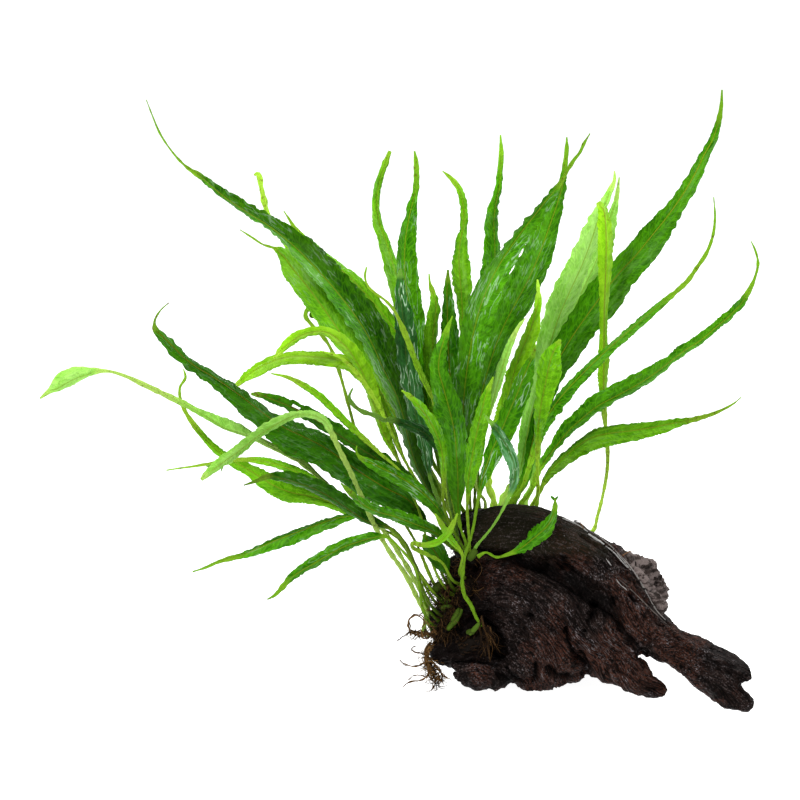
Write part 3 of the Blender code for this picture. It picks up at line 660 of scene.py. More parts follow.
@dataclass(frozen=True)
class WoodFinish:
    """Wet driftwood.

    Attributes:
        slot: its name and slot.
        dark: colour in the grooves.
        brown: colour of the bare grain.
        grey: colour of the painted highlight specks on the ridges, where the surface catches light.
        rust: colour of the reddish patches.
        olive: colour of the tint on the dome.
        glint: colour of the painted glints, small highlights of the watery wood.
        stone: darker and lighter colour of the stony knob.
        pit: colour of the knob's pits.
        rough: roughness.
        specular: how much it reflects.
    """

    slot: str = WOOD_SLOT
    dark: Colour = (0.0032, 0.0020, 0.0017)
    brown: Colour = (0.0165, 0.0098, 0.0082)
    grey: Colour = (0.062, 0.050, 0.049)
    rust: Colour = (0.062, 0.0215, 0.0130)
    olive: Colour = (0.0115, 0.0105, 0.0045)
    glint: Colour = (0.21, 0.19, 0.20)
    stone: tuple[Colour, Colour] = ((0.034, 0.025, 0.022), (0.140, 0.111, 0.104))
    pit: Colour = (0.014, 0.009, 0.007)
    rough: float = 0.45
    specular: float = 0.025

    def build(self) -> bpy.types.Material:
        """Makes the material.

        Returns:
            The material.
        """
        s = Shader(self.slot)
        place = s.place()
        painted_hollow_shade, pale, knob, _ = s.channels("dress")
        shadow, painted_glint_mask, dome, rusty = s.channels("painted_light_and_marks")
        drawn = s.add("Attribute", {"attribute_name": "grain"}).outputs["Vector"]

        # The bare grain, with rusty patches, cracks and the tint of the dome
        grain = s.speckle(drawn, 1.0, 5.0)
        fibre = s.speckle(drawn, 2.7, 3.0)
        fine = s.speckle(place, 1500.0)
        thread = s.speckle(drawn, 7.0)
        tint = s.mixed((grain, 0.40), (fibre, 0.30), (thread, 0.22), (s.speckle(place, 60.0, 3.0), 0.25))
        wood = s.blend(s.step(tint, 0.52, 0.68), self.dark, self.brown)
        warm = s.step(s.level(rusty, 0.09, s.speckle(place, 42.0, 3.0)), 0.47, 0.58)
        rust = s.times(warm, s.step(s.mixed((fibre, 0.5), (thread, 0.5)), 0.44, 0.58))
        wood = s.blend(s.times(rust, 0.75), wood, self.rust)
        crack = s.step(s.line_of(s.speckle(drawn, 1.7)), 0.044, 0.014)
        wood = s.blend(s.times(crack, 0.95), wood, scaled(self.dark, 0.18))
        wood = s.blend(s.times(dome, 0.55), wood, self.olive)

        # Painted highlight specks on the ridges, painted glints of the watery wood, and painted shade on the
        # side under the leaves
        painted_specks = s.step(s.mixed((fine, 0.6), (fibre, 0.4)), 0.53, 0.60)
        wood = s.blend(s.times(painted_specks, pale), wood, self.grey)
        painted_glints = s.times(s.patches(place, 110.0, 2.0, 0.50, 0.60), painted_glint_mask)
        glint = s.times(s.patches(drawn, 4.5, 2.0, 0.60, 0.68), painted_glints)
        wood = s.blend(s.times(glint, 0.75), wood, self.glint)
        wood = s.blend(s.times(shadow, 0.8), wood, scaled(self.dark, 0.55))

        # The stony knob with its level lines, and the painted shade of the hollows
        level = s.add("Mapping", None, Vector=place, Scale=(110.0, 110.0, 760.0),
                      Rotation=(0.15, 0.35, 0.0)).outputs[0]
        lines = s.mixed((fine, 0.3), (s.speckle(level, 1.0, 4.0), 0.7))
        stone = s.blend(s.step(lines, 0.43, 0.54), *self.stone)
        stone = s.blend(s.patches(place, 240.0, 3.0, 0.57, 0.64), stone, self.pit)
        wood = s.blend(knob, wood, stone)
        wood = s.blend(painted_hollow_shade, wood, scaled(self.dark, 0.2))
        rough = s.level(fine, 0.4, self.rough - 0.15)
        height = s.mixed((grain, 0.8), (fibre, 0.6), (fine, 0.4))
        return s.surface(wood, rough, height, 0.0012, 1.0, self.specular)


@dataclass(frozen=True)
class FibreFinish:
    """Roots, stems and splinters: a dark, a light and a green or brown colour, mixed by the mask.

    Attributes:
        slot: the material's name.
        dark: colour of most of it.
        light: colour where the mask's first channel is 1.
        green: colour where the mask's third channel is 1.
        rough: roughness.
        specular: how much it reflects.
    """

    slot: str
    dark: Colour
    light: Colour
    green: Colour
    rough: float
    specular: float = 0.04

    def build(self) -> bpy.types.Material:
        """Makes the material.

        Returns:
            The material.
        """
        s = Shader(self.slot)
        place = s.place()
        light, _, green, _ = s.channels("dress")
        patch = s.patches(place, 420.0, 3.0, 0.35, 0.7)
        colour = s.blend(patch, scaled(self.dark, 0.4), self.dark)
        colour = s.blend(light, colour, self.light)
        colour = s.blend(green, colour, self.green)
        rough = s.level(patch, 0.25, self.rough - 0.12)
        return s.surface(colour, rough, s.speckle(place, 1100.0, 3.0), 0.0005, 0.8, self.specular)


STEM_FINISH = FibreFinish(STEM_SLOT, (0.0048, 0.0029, 0.0017), (0.040, 0.019, 0.007),
                          (0.062, 0.125, 0.009), 0.55)
ROOT_FINISH = FibreFinish(ROOT_SLOT, (0.010, 0.0050, 0.0028), (0.23, 0.120, 0.040), (0.1, 0.2, 0.02), 0.5)
# Pale splinters: partly real fibres, partly a painted highlight along the dome's rim
SPLINTER_AND_RIM_HIGHLIGHT_FINISH = FibreFinish("splinters_with_painted_rim_highlight", (0.10, 0.078, 0.066), (0.50, 0.50, 0.49),
                              (0.17, 0.085, 0.04), 0.6)

LEAF_FINISHES = (
    LeafFinish(Tone.GLOSSY, (0.010, 0.082, 0.0004), (0.054, 0.215, 0.002), (0.15, 0.22, 0.008),
               (0.135, 0.28, 0.012), 0.34, 0.36, (0.115, 0.29, 0.045)),
    LeafFinish(Tone.DARK, (0.005, 0.046, 0.0002), (0.028, 0.125, 0.001), (0.085, 0.095, 0.005),
               (0.10, 0.19, 0.012), 0.34, 0.24, (0.060, 0.18, 0.032)),
    LeafFinish(Tone.FRESH, (0.052, 0.215, 0.0012), (0.145, 0.40, 0.006), (0.19, 0.27, 0.014),
               (0.20, 0.36, 0.02), 0.38, 0.24, (0.22, 0.44, 0.085)),
    LeafFinish(Tone.YELLOW, (0.125, 0.36, 0.002), (0.235, 0.50, 0.012), (0.22, 0.29, 0.020),
               (0.27, 0.44, 0.04), 0.40, 0.16, (0.32, 0.54, 0.11)),
    LeafFinish(Tone.PALE, (0.150, 0.43, 0.022), (0.29, 0.58, 0.100), (0.23, 0.40, 0.030),
               (0.33, 0.51, 0.09), 0.42, 0.22, (0.38, 0.62, 0.20)),
    LeafFinish(Tone.BLUE, (0.005, 0.036, 0.004), (0.018, 0.098, 0.011), (0.04, 0.09, 0.012),
               (0.12, 0.26, 0.03), 0.28, 0.25, (0.085, 0.21, 0.095), 0.03),
)


# The fern

# How far a stalk is sunk into its stem, and how far out of the stem it is led first, in mm
STALK_SUNK = 0.6
STALK_LED = 1.2

# The gap between the rings of a leaf, in mm, and the fewest and the most rings
RING_GAP = 0.62
RING_COUNT = (60, 330)

# Seen widths that tell a bare stalk from a blade, in mm
STALK_WIDTH = 1.7
BLADE_WIDTH = 4.0


@dataclass(frozen=True)
class Rhizome:
    """One length of the creeping stem.

    Attributes:
        node: the frame node that it stands for.
        points: points along it, in mm.
        radius: its radius, in mm.
        buds: green swellings on it: where each starts and ends (across, up, back), its radius, how
            green it is.
        rings: how many rings it is made of.
        scales: how many dark scales there are for each of its points.
        scale_radii: the radius of a scale from its foot to its tip, in mm.
    """

    node: str
    points: tuple[Point, ...]
    radius: float
    buds: tuple[tuple[Point, Point, float, float], ...] = ()
    rings: int = 90
    scales: int = 34
    scale_radii: tuple[float, ...] = (0.34, 0.28, 0.16, 0.03)

    def along(self, place: float) -> tuple[Vector, Vector]:
        """A point along the stem and the way the stem runs there.

        Args:
            place: the share of its length.

        Returns:
            The point in mm, and the direction.
        """
        near = 0.02
        shares = np.array([max(0.0, place - near), place, min(1.0, place + near)])
        spots = smooth_route(self.points, shares)
        return Vector(spots[1]), Vector(spots[2] - spots[0]).normalized()

    def build(self, material: bpy.types.Material, seed: int) -> bpy.types.Object:
        """Makes the stem, its buds and its dark scales.

        Args:
            material: its finish.
            seed: makes its scales differ from another stem's.

        Returns:
            The object.
        """
        skin = Skin(self.node.replace("rhizome", "creeping_stem"), STEM_SLOT, (self.node,))
        line = smooth_route(self.points, self.rings)
        radii = self.radius * (0.92 + 0.18 * chance(line, 0.35))
        ends = np.minimum(np.arange(self.rings), np.arange(self.rings)[::-1]) / 5
        skin.tube(line, radii * np.sqrt(np.clip(ends, 0.05, 1.0)), bark(0.0), 16)
        self.add_buds(skin)
        self.add_scales(skin, random.Random(seed))
        return skin.build(material)

    def add_buds(self, skin: Skin) -> None:
        """Adds the green swellings.

        Args:
            skin: the stem's skin.
        """
        count = 14
        steps = np.linspace(0, 1, count)[:, None]
        swell = np.sin(np.pi * np.linspace(0.10, 0.97, count)) ** 0.5
        for start, end, size, green in self.buds:
            foot, tip = np.array(VIEW.seen(*start)), np.array(VIEW.seen(*end))
            bow = np.sin(steps * np.pi) * np.array([0.35, -0.2, 0.25]) * size
            middle = foot + (tip - foot) * steps + bow
            skin.tube(middle, size * (1 + 0.25 * chance(middle, 0.8)) * swell, bark(0.1, green), 12)

    def add_scales(self, skin: Skin, rng: random.Random) -> None:
        """Adds the dark scales.

        Args:
            skin: the stem's skin.
            rng: where chance comes from.
        """
        steps = np.linspace(0, 1, len(self.scale_radii))[:, None]
        for _ in range(len(self.points) * self.scales):
            place, turn = rng.random(), rng.uniform(0, 2 * math.pi)
            spot, way = self.along(place)
            side = way.orthogonal().normalized()
            out = (side * math.cos(turn) + way.cross(side) * math.sin(turn)).normalized()
            tip = out * rng.uniform(0.5, 1.3) + way * rng.uniform(0.6, 2.2)
            tip.z += rng.uniform(-0.6, 0.4)
            line = np.array(spot + out * self.radius * 0.9) + np.array(tip) * steps
            radii = np.array(self.scale_radii) * rng.uniform(0.7, 1.3)
            skin.tube(line, radii, bark(rng.uniform(0, 0.5)), 4)


RHIZOMES = {
    Crown.LOWER: Rhizome(
        "rhizome_lower", ((-34, -12, 20), (-29, -14, 28), (-24, -12, 37), (-20, -13, 46)), 3.6,
        (((-29, 20.6, -18), (-23.2, 28.8, -17.4), 1.4, 0.62),
         ((-27.4, 24, -19), (-24.4, 29.2, -18.2), 1.0, 0.6),
         ((-35.4, 35.4, -12), (-30.8, 39.2, -11), 1.9, 0.4),
         ((-31.6, 29.4, -17), (-26.8, 29.8, -17.6), 0.8, 0.5))),
    Crown.UPPER: Rhizome(
        "rhizome_upper", ((-19, -14, 52), (-25, -4, 57), (-27, 8, 60), (-20, 20, 62), (-6, 27, 62),
                          (8, 29, 60), (22, 27, 56)), 3.6,
        (((-20.4, 48.4, -18), (-18, 53, -17.6), 1.5, 0.55),)),
    Crown.FRONT: Rhizome(
        "rhizome_front", ((-25, -20, 19), (-19, -21, 22), (-13.5, -20, 27)), 2.8,
        (((-20.2, 18.6, -24.2), (-16.2, 23.4, -24), 1.05, 0.72),
         ((-21.4, 19.4, -23.6), (-18, 19.6, -24), 1.2, 0.35))),
}


@dataclass(frozen=True)
class Look:
    """What sets one leaf apart from the rest of its tone.

    Attributes:
        tone: its finish.
        wave: height of the ruffle at its edges, in mm.
        shade: 0.5 leaves the tone's colours as they are; less is darker.
        brown: how spotted it is, 0 to 1.
        hole: where the blade is torn through, as a share of its length and of its width.
        split: how much lighter its right half is painted than its left, seen from base to tip, -1 to 1:
            painted light and shade of the folded halves.
        sheen: how much painted sheen, a grey-white highlight, lies on its left and on its right half, 0 to
            1.
        painted_glints: how thick its fine painted glints lie, 0 to 1.
        rib: how plain its middle vein is, 0 to 1.
        lobes: small side lobes: where they fork off, how far sideways they lean, and their length in
            mm.
        coil: radius of the coil at its tip, in mm.
        stout: how thick its stalk is, as a share of the drawn width.
        painted_foot_shade: how much painted shade darkens it toward its foot, in the shade of the crown;
            less than nothing paints the foot lighter.
        jag: how deep the scallops of its edges are, as a share of the common depth.
    """

    tone: Tone
    wave: float = 0.7
    shade: float = 0.5
    brown: float = 0.35
    hole: tuple[float, float] | None = None
    split: float = 0.0
    sheen: tuple[float, float] = (0.15, 0.08)
    painted_glints: float = 0.2
    rib: float = 0.7
    lobes: tuple[tuple[float, float, float], ...] = ()
    coil: float = 0.0
    stout: float = 0.78
    painted_foot_shade: float = 1.0
    jag: float = 1.0


@dataclass(frozen=True)
class Leaf:
    """One frond: stalk, blade and drawn-out tip.

    Attributes:
        name: the frame node that it stands for.
        crown: the stem it grows from.
        place: how far along that stem.
        tip_back: how far behind the origin its tip lies, in mm.
        roll: its turn about its own length, in degrees.
        fold: how far its halves fold back, in degrees.
        route: where it is seen (across, up, seen width, and if pinned, back), in mm.
        look: its looks.
    """

    name: str
    crown: Crown
    place: float
    tip_back: float
    roll: float
    fold: float
    route: tuple[tuple[float, ...], ...]
    look: Look

    def line(self) -> list[Vector]:
        """Finds the leaf's course.

        Returns:
            The points from the seat on the stem to the tip, in mm.
        """
        stem = RHIZOMES[self.crown]
        centre, way = stem.along(self.place)
        base = (centre.x, centre.z * math.cos(VIEW.rise) + centre.y * math.sin(VIEW.rise))
        steps = [0.0]
        for (a, b, *_), (c, d, *_) in zip((base, *self.route), self.route):
            steps.append(steps[-1] + math.hypot(c - a, d - b))
        points = []
        for (across, up, _, *pinned), far in zip(self.route, steps[1:]):
            back = pinned[0] if pinned else centre.y + (self.tip_back - centre.y) * far / steps[-1]
            points.append(VIEW.seen(across, up, back))
        aim = (points[0] - centre).normalized()
        out = (aim - way * aim.dot(way)).normalized()
        seat = centre + out * (stem.radius - STALK_SUNK)
        return [seat, centre + out * (stem.radius + STALK_LED) + aim * 1.5, *points]

    def drift(self, far: np.ndarray, scale: float, track: float) -> np.ndarray:
        """Slow chance along the leaf, from about -1 to 1.

        Args:
            far: distances along the leaf, in mm.
            scale: how fast it changes, per mm.
            track: a number that sets this chance apart from the leaf's others.

        Returns:
            The value at each distance.
        """
        start = self.place * 41 + self.route[-1][0]
        return np.array([noise.noise(Vector((start, f * scale, track))) for f in far]) * 1.6

    def outline(self, spots: np.ndarray,
                far: np.ndarray) -> tuple[np.ndarray, np.ndarray, np.ndarray, float]:
        """Finds how wide the leaf is along its length.

        Args:
            spots: points along the leaf, in mm.
            far: their distances along it, in mm.

        Returns:
            The half-width, the half-thickness of the bare stalk or tip there, how leafy it is, and
            the share of its length that is stalk.
        """
        places = [0.0]
        for point in self.line()[2:]:
            nearest = np.linalg.norm(spots - np.array(point), axis=1) + 1e3 * (far <= places[-1])
            places.append(float(far[np.argmin(nearest)]))
        seen = np.interp(far, places, np.array([1.5, *(point[2] for point in self.route)]))
        seen = smoothed(seen[:, None], np.hanning(11))[:, 0]
        leafy = ramp(seen, STALK_WIDTH, BLADE_WIDTH)
        share = far / far[-1]
        chances = leafy * 0.12 * self.drift(far, 0.06, 1.7) + (1 - leafy) * 0.25 * self.drift(far, 0.4, 2.9)
        seen = seen * (1 + chances)
        seen = seen * (1 - (1 - self.look.stout) * (1 - leafy) * (1 - ramp(share, 0.5, 0.7)))
        seen = np.maximum(seen * (1 + 0.6 * np.exp(-far / 1.4)), 0.34)
        wide = np.flatnonzero(seen > 2.2)
        stalk = share[wide[0]] if len(wide) else 0.3
        turn = math.radians(self.roll) * leafy
        thin = np.minimum(seen / 2, 0.35 + 0.3 * (1 - ramp(share, 0.5, 0.8)))
        return seen / 2 / np.cos(turn), thin, leafy, float(stalk)

    def margin(self, far: np.ndarray, side: int, rng: random.Random) -> tuple[np.ndarray, np.ndarray]:
        """Finds how one edge runs: its small scallops and its ruffle.

        Args:
            far: distances along the leaf, in mm.
            side: -1 or 1, which edge.
            rng: where chance comes from.

        Returns:
            The scallops from 0 to 1, and the ruffle from -1 to 1.
        """
        beat = far / rng.uniform(3.0, 4.6) + self.drift(far, 0.16, 4.0 + side) * 1.5 + rng.random()
        depth = 0.45 + 0.75 * np.abs(self.drift(far, 0.09, 6.0 + side))
        slow = far / rng.uniform(6.5, 9.0) + self.drift(far, 0.05, 8.0 + side) * 0.9 + rng.random()
        ruffle = np.sin(2 * np.pi * slow) * (0.35 + 0.9 * np.abs(self.drift(far, 0.07, 10.0 + side)))
        scallop = np.abs(np.sin(np.pi * beat)) ** 0.7 * depth
        return scallop, ruffle + 0.22 * np.sin(2 * np.pi * beat)

    def build(self, material: bpy.types.Material, seed: int) -> bpy.types.Object:
        """Makes the frond.

        Args:
            material: its finish.
            seed: makes its ruffle differ from its neighbours'.

        Returns:
            The object.
        """
        rng = random.Random(seed)
        points = self.line()
        long = int(np.clip(sum((q - p).length for p, q in zip(points, points[1:])) / RING_GAP, *RING_COUNT))
        spots = smooth_route(points, long)
        far = distances(spots)
        way = unit(np.gradient(spots, axis=0))
        half, thin, leafy, stalk = self.outline(spots, far)
        side, face = self.bearings(way, far, leafy)
        count = 17 if half.max() > 3 else 13
        across = -np.cos(np.linspace(0, np.pi, count))
        margins = [self.margin(far, which, rng) for which in (-1, 1)]
        scallop, ruffle = (np.where(across < 0, left[:, None], right[:, None])
                           for left, right in zip(*margins))
        top, low, wide = self.sheet(spots, far, side, face, (half, thin, leafy), across,
                                    (scallop, ruffle), seed)
        places = np.stack(np.broadcast_arrays(across * wide, far[:, None]), axis=-1) * MAP_SCALE
        dress = self.dress(far, leafy, across, ruffle, stalk)
        masks = (dress, places, self.painted_light_and_marks(far, leafy, across))
        skin = Skin(self.name.replace("leaf", "frond"), self.look.tone.value, (self.name,))
        skin.loft(np.concatenate([top, low[:, -2:0:-1]], axis=1),
                  *(np.concatenate([rows, rows[:, -2:0:-1]], axis=1) for rows in masks),
                  self.torn(long, count))
        if self.look.coil:
            skin.tube(*self.fiddlehead(spots, way), (0.5, 0.26, 0.2, 0.0))
        for lobe in self.look.lobes:
            self.side_lobe(skin, spots, side, face, *lobe)
        return skin.build(material)

    def sheet(self, spots: np.ndarray, far: np.ndarray, side: np.ndarray, face: np.ndarray,
              sizes: tuple[np.ndarray, ...], across: np.ndarray, margins: tuple[np.ndarray, ...],
              seed: int) -> tuple[np.ndarray, np.ndarray, np.ndarray]:
        """Shapes the upper and the lower side of stalk and blade.

        Args:
            spots: points along the leaf, in mm.
            far: their distances along it, in mm.
            side: its sideways directions.
            face: its facing directions.
            sizes: its half-width and half-thickness, in mm, and how leafy it is.
            across: places across it, -1 to 1.
            margins: the scallops of its edges, from 0 to 1, and their ruffle, from -1 to 1.
            seed: sets its quilting apart from its neighbours'.

        Returns:
            The points of both sides, and the half-width with its scallops.
        """
        half, thin, leafy = (row[:, None] for row in sizes)
        scallop, ruffle = margins
        edge = np.abs(across)
        wide = half + leafy * (scallop - 0.6) * 0.62 * self.look.jag * edge**3
        lift = 0.75 * self.look.wave * leafy * ruffle * edge**2.2
        fold = math.tan(math.radians(self.fold + 6)) * leafy
        fold = fold * (1 + 0.35 * self.drift(far, 0.03, 12.0)[:, None])
        rise = fold * wide * (1 - edge**1.15)
        bulge = 0.30 * leafy * np.sin(edge * np.pi) ** 0.8
        slant = far[:, None] - VEIN_LEAN * edge * half
        quilt = 0.4 * bulge * np.sin(slant * 1.9 + 3 * self.drift(far, 0.1, 14.0)[:, None] + seed)
        middle = spots[:, None] + side[:, None] * (across * wide)[..., None]
        middle = middle + face[:, None] * (lift + 0.5 * quilt + bulge + rise)[..., None]
        rounded = np.sqrt(np.clip(1 - across**2, 0, 1))
        depth = thin * rounded * (1 - leafy) + (0.13 + 0.10 * rounded) * leafy
        keel = np.exp(-(((across * wide) / 0.5) ** 2)) * leafy
        top = middle + face[:, None] * (depth - 0.12 * keel)[..., None]
        low = middle - face[:, None] * (depth + 0.42 * keel)[..., None]
        return top, low, wide

    def torn(self, long: int, count: int) -> tuple[int, int, int, int] | None:
        """The stations and columns that the hole in the blade takes out, if it has one.

        Args:
            long: how many stations there are.
            count: how many points lie across the top.

        Returns:
            First and last station, first and last column.
        """
        if not self.look.hole:
            return None
        along, across = self.look.hole
        row, column = int(along * long), int((across + 1) / 2 * count)
        return row - 3, row + 3, column - 2, column + 1

    def dress(self, far: np.ndarray, leafy: np.ndarray, across: np.ndarray, ruffle: np.ndarray,
              stalk: float) -> np.ndarray:
        """Finds the colour mask: stalk, shade with the painted shade and light, brown and nearness to the
        edge.

        Args:
            far: distances along the leaf, in mm.
            leafy: how leafy it is there.
            across: places across it, -1 to 1.
            ruffle: the ruffle of its edges.
            stalk: the share of its length that is stalk.

        Returns:
            Masks (stations, places across, 4).
        """
        look = self.look
        share = far / far[-1]
        blade = np.clip((share - stalk) / (1 - stalk), 0, 1)
        stemmy = 1 - ramp(leafy, 0.05, 0.6)
        tipward = ramp(blade, 0.75, 1.0)
        low = self.crown is Crown.LOWER
        # Painted shade toward the foot, in the shade of the crown; a negative painted_foot_shade paints the
        # foot lighter instead
        foot = 0.38 + 0.29 * leafy if look.painted_foot_shade > 0 else 1 - 0.75 * leafy
        deep = 1 - look.painted_foot_shade * (0.45 if low else 1.0) * (1 - ramp(share, 0.06, 0.50)) * foot
        # The low stalks are also painted darker on their first millimetres, painted shade down at the stem
        if low and look.stout < 1:
            deep = deep * (0.40 + 0.60 * ramp(far, 2.0, 13.0))
        deep = deep * (1 + 0.16 * self.drift(far, 0.03, 16.0)) * (1 + 0.30 * tipward)
        # Painted light and shade: one folded half is painted lighter than the other
        halves = look.split * np.tanh(across * 6) * (1 - 0.7 * ramp(blade, 0.55, 0.85))[:, None]
        dress = np.empty((len(far), len(across), 4))
        dress[..., 0] = (stemmy * (1 - 0.3 * tipward))[:, None]
        # The shade also follows the ruffle, painted lighter where an edge lifts and darker where it dips
        dress[..., 1] = look.shade * deep[:, None] * (1 + halves) * (1 + 0.10 * ruffle * np.abs(across))
        dress[..., 2] = np.clip(look.brown * (0.4 + 0.8 * stemmy + 0.5 * tipward), 0, 1)[:, None]
        dress[..., 3] = leafy[:, None] * ramp(np.abs(across), 0.88, 1.0)
        return dress

    def painted_light_and_marks(self, far: np.ndarray, leafy: np.ndarray, across: np.ndarray) -> np.ndarray:
        """Finds the painted sheen, the painted glints and the middle vein.

        Args:
            far: distances along the leaf, in mm.
            leafy: how leafy it is there.
            across: places across it, -1 to 1.

        Returns:
            Masks (stations, places across, 4).
        """
        left, right = self.look.sheen
        halves = (left + right) / 2 + (right - left) / 2 * np.tanh(across * 8)
        slow = leafy * (0.75 + 0.5 * self.drift(far, 0.025, 18.0))
        painted_light_and_marks = np.zeros((len(far), len(across), 4))
        painted_light_and_marks[..., 0] = np.clip(slow[:, None] * halves, 0, 1)
        painted_light_and_marks[..., 1] = leafy[:, None] * self.look.painted_glints
        painted_light_and_marks[..., 2] = leafy[:, None] * self.look.rib
        return painted_light_and_marks

    def fiddlehead(self, spots: np.ndarray, way: np.ndarray) -> tuple[np.ndarray, np.ndarray]:
        """Finds the coil at the tip.

        Args:
            spots: points along the leaf, in mm.
            way: directions along it.

        Returns:
            The line of the coil and its radii.
        """
        ahead = np.array(VIEW.ahead)
        turn = np.linspace(0, 1, 34)
        inward = unit(np.cross(ahead, way[-1]))
        small = self.look.coil * (1 - 0.62 * turn)[:, None]
        angle = (turn * 2.0 * np.pi * 1.35)[:, None]
        centre = spots[-1] + inward * self.look.coil
        line = centre + (-inward * np.cos(angle) + way[-1] * np.sin(angle)) * small
        return line + ahead * (turn * -0.7)[:, None], 0.62 - 0.22 * turn

    def side_lobe(self, skin: Skin, spots: np.ndarray, side: np.ndarray, face: np.ndarray,
                  share: float, reach: float, length: float) -> None:
        """Adds a small side lobe that forks off near the tip.

        Args:
            skin: what it joins.
            spots: points along the leaf, in mm.
            side: its sideways directions.
            face: its facing directions.
            share: where along the leaf the lobe forks off.
            reach: how far sideways it leans.
            length: how long it is, in mm.
        """
        last = len(spots) - 1
        i = int(share * last)
        ahead = unit(spots[min(i + 6, last)] - spots[i])
        aim = unit(ahead * 0.9 + side[i] * reach)
        steps = np.linspace(0, 1, 16)
        line = spots[i] + aim * (steps * length)[:, None] - face[i] * (0.4 * np.sin(steps * 3))[:, None]
        out = side[i] * (np.sin(np.pi * steps**0.8) * length * 0.16 + 0.2)[:, None]
        thick = face[i] * 0.2
        rings = np.stack([line - out, line - thick, line + out, line + thick], axis=1)
        mask = np.zeros((*rings.shape[:2], 4))
        mask[..., 1] = self.look.shade
        skin.loft(rings, mask, np.zeros((*rings.shape[:2], 2)))

    def bearings(self, way: np.ndarray, far: np.ndarray,
                 leafy: np.ndarray) -> tuple[np.ndarray, np.ndarray]:
        """Finds the blade's sideways and facing directions.

        Args:
            way: directions along the leaf.
            far: distances along the leaf, in mm.
            leafy: how leafy it is there.

        Returns:
            The sideways and the facing directions at each station.
        """
        raw = np.cross(np.array(VIEW.ahead), way)
        raw = smoothed(raw * np.clip(np.linalg.norm(raw, axis=1), 0.02, 1)[:, None], np.ones(13))
        side = unit(raw - way * np.sum(raw * way, axis=1, keepdims=True))
        face = np.cross(side, way)
        turn = math.radians(self.roll) * leafy
        turn = turn + 0.22 * self.drift(far, 0.022, 18.0) * ramp(far / far[-1], 0.1, 0.4)
        cos, sin = np.cos(turn)[:, None], np.sin(turn)[:, None]
        return side * cos + face * sin, face * cos - side * sin


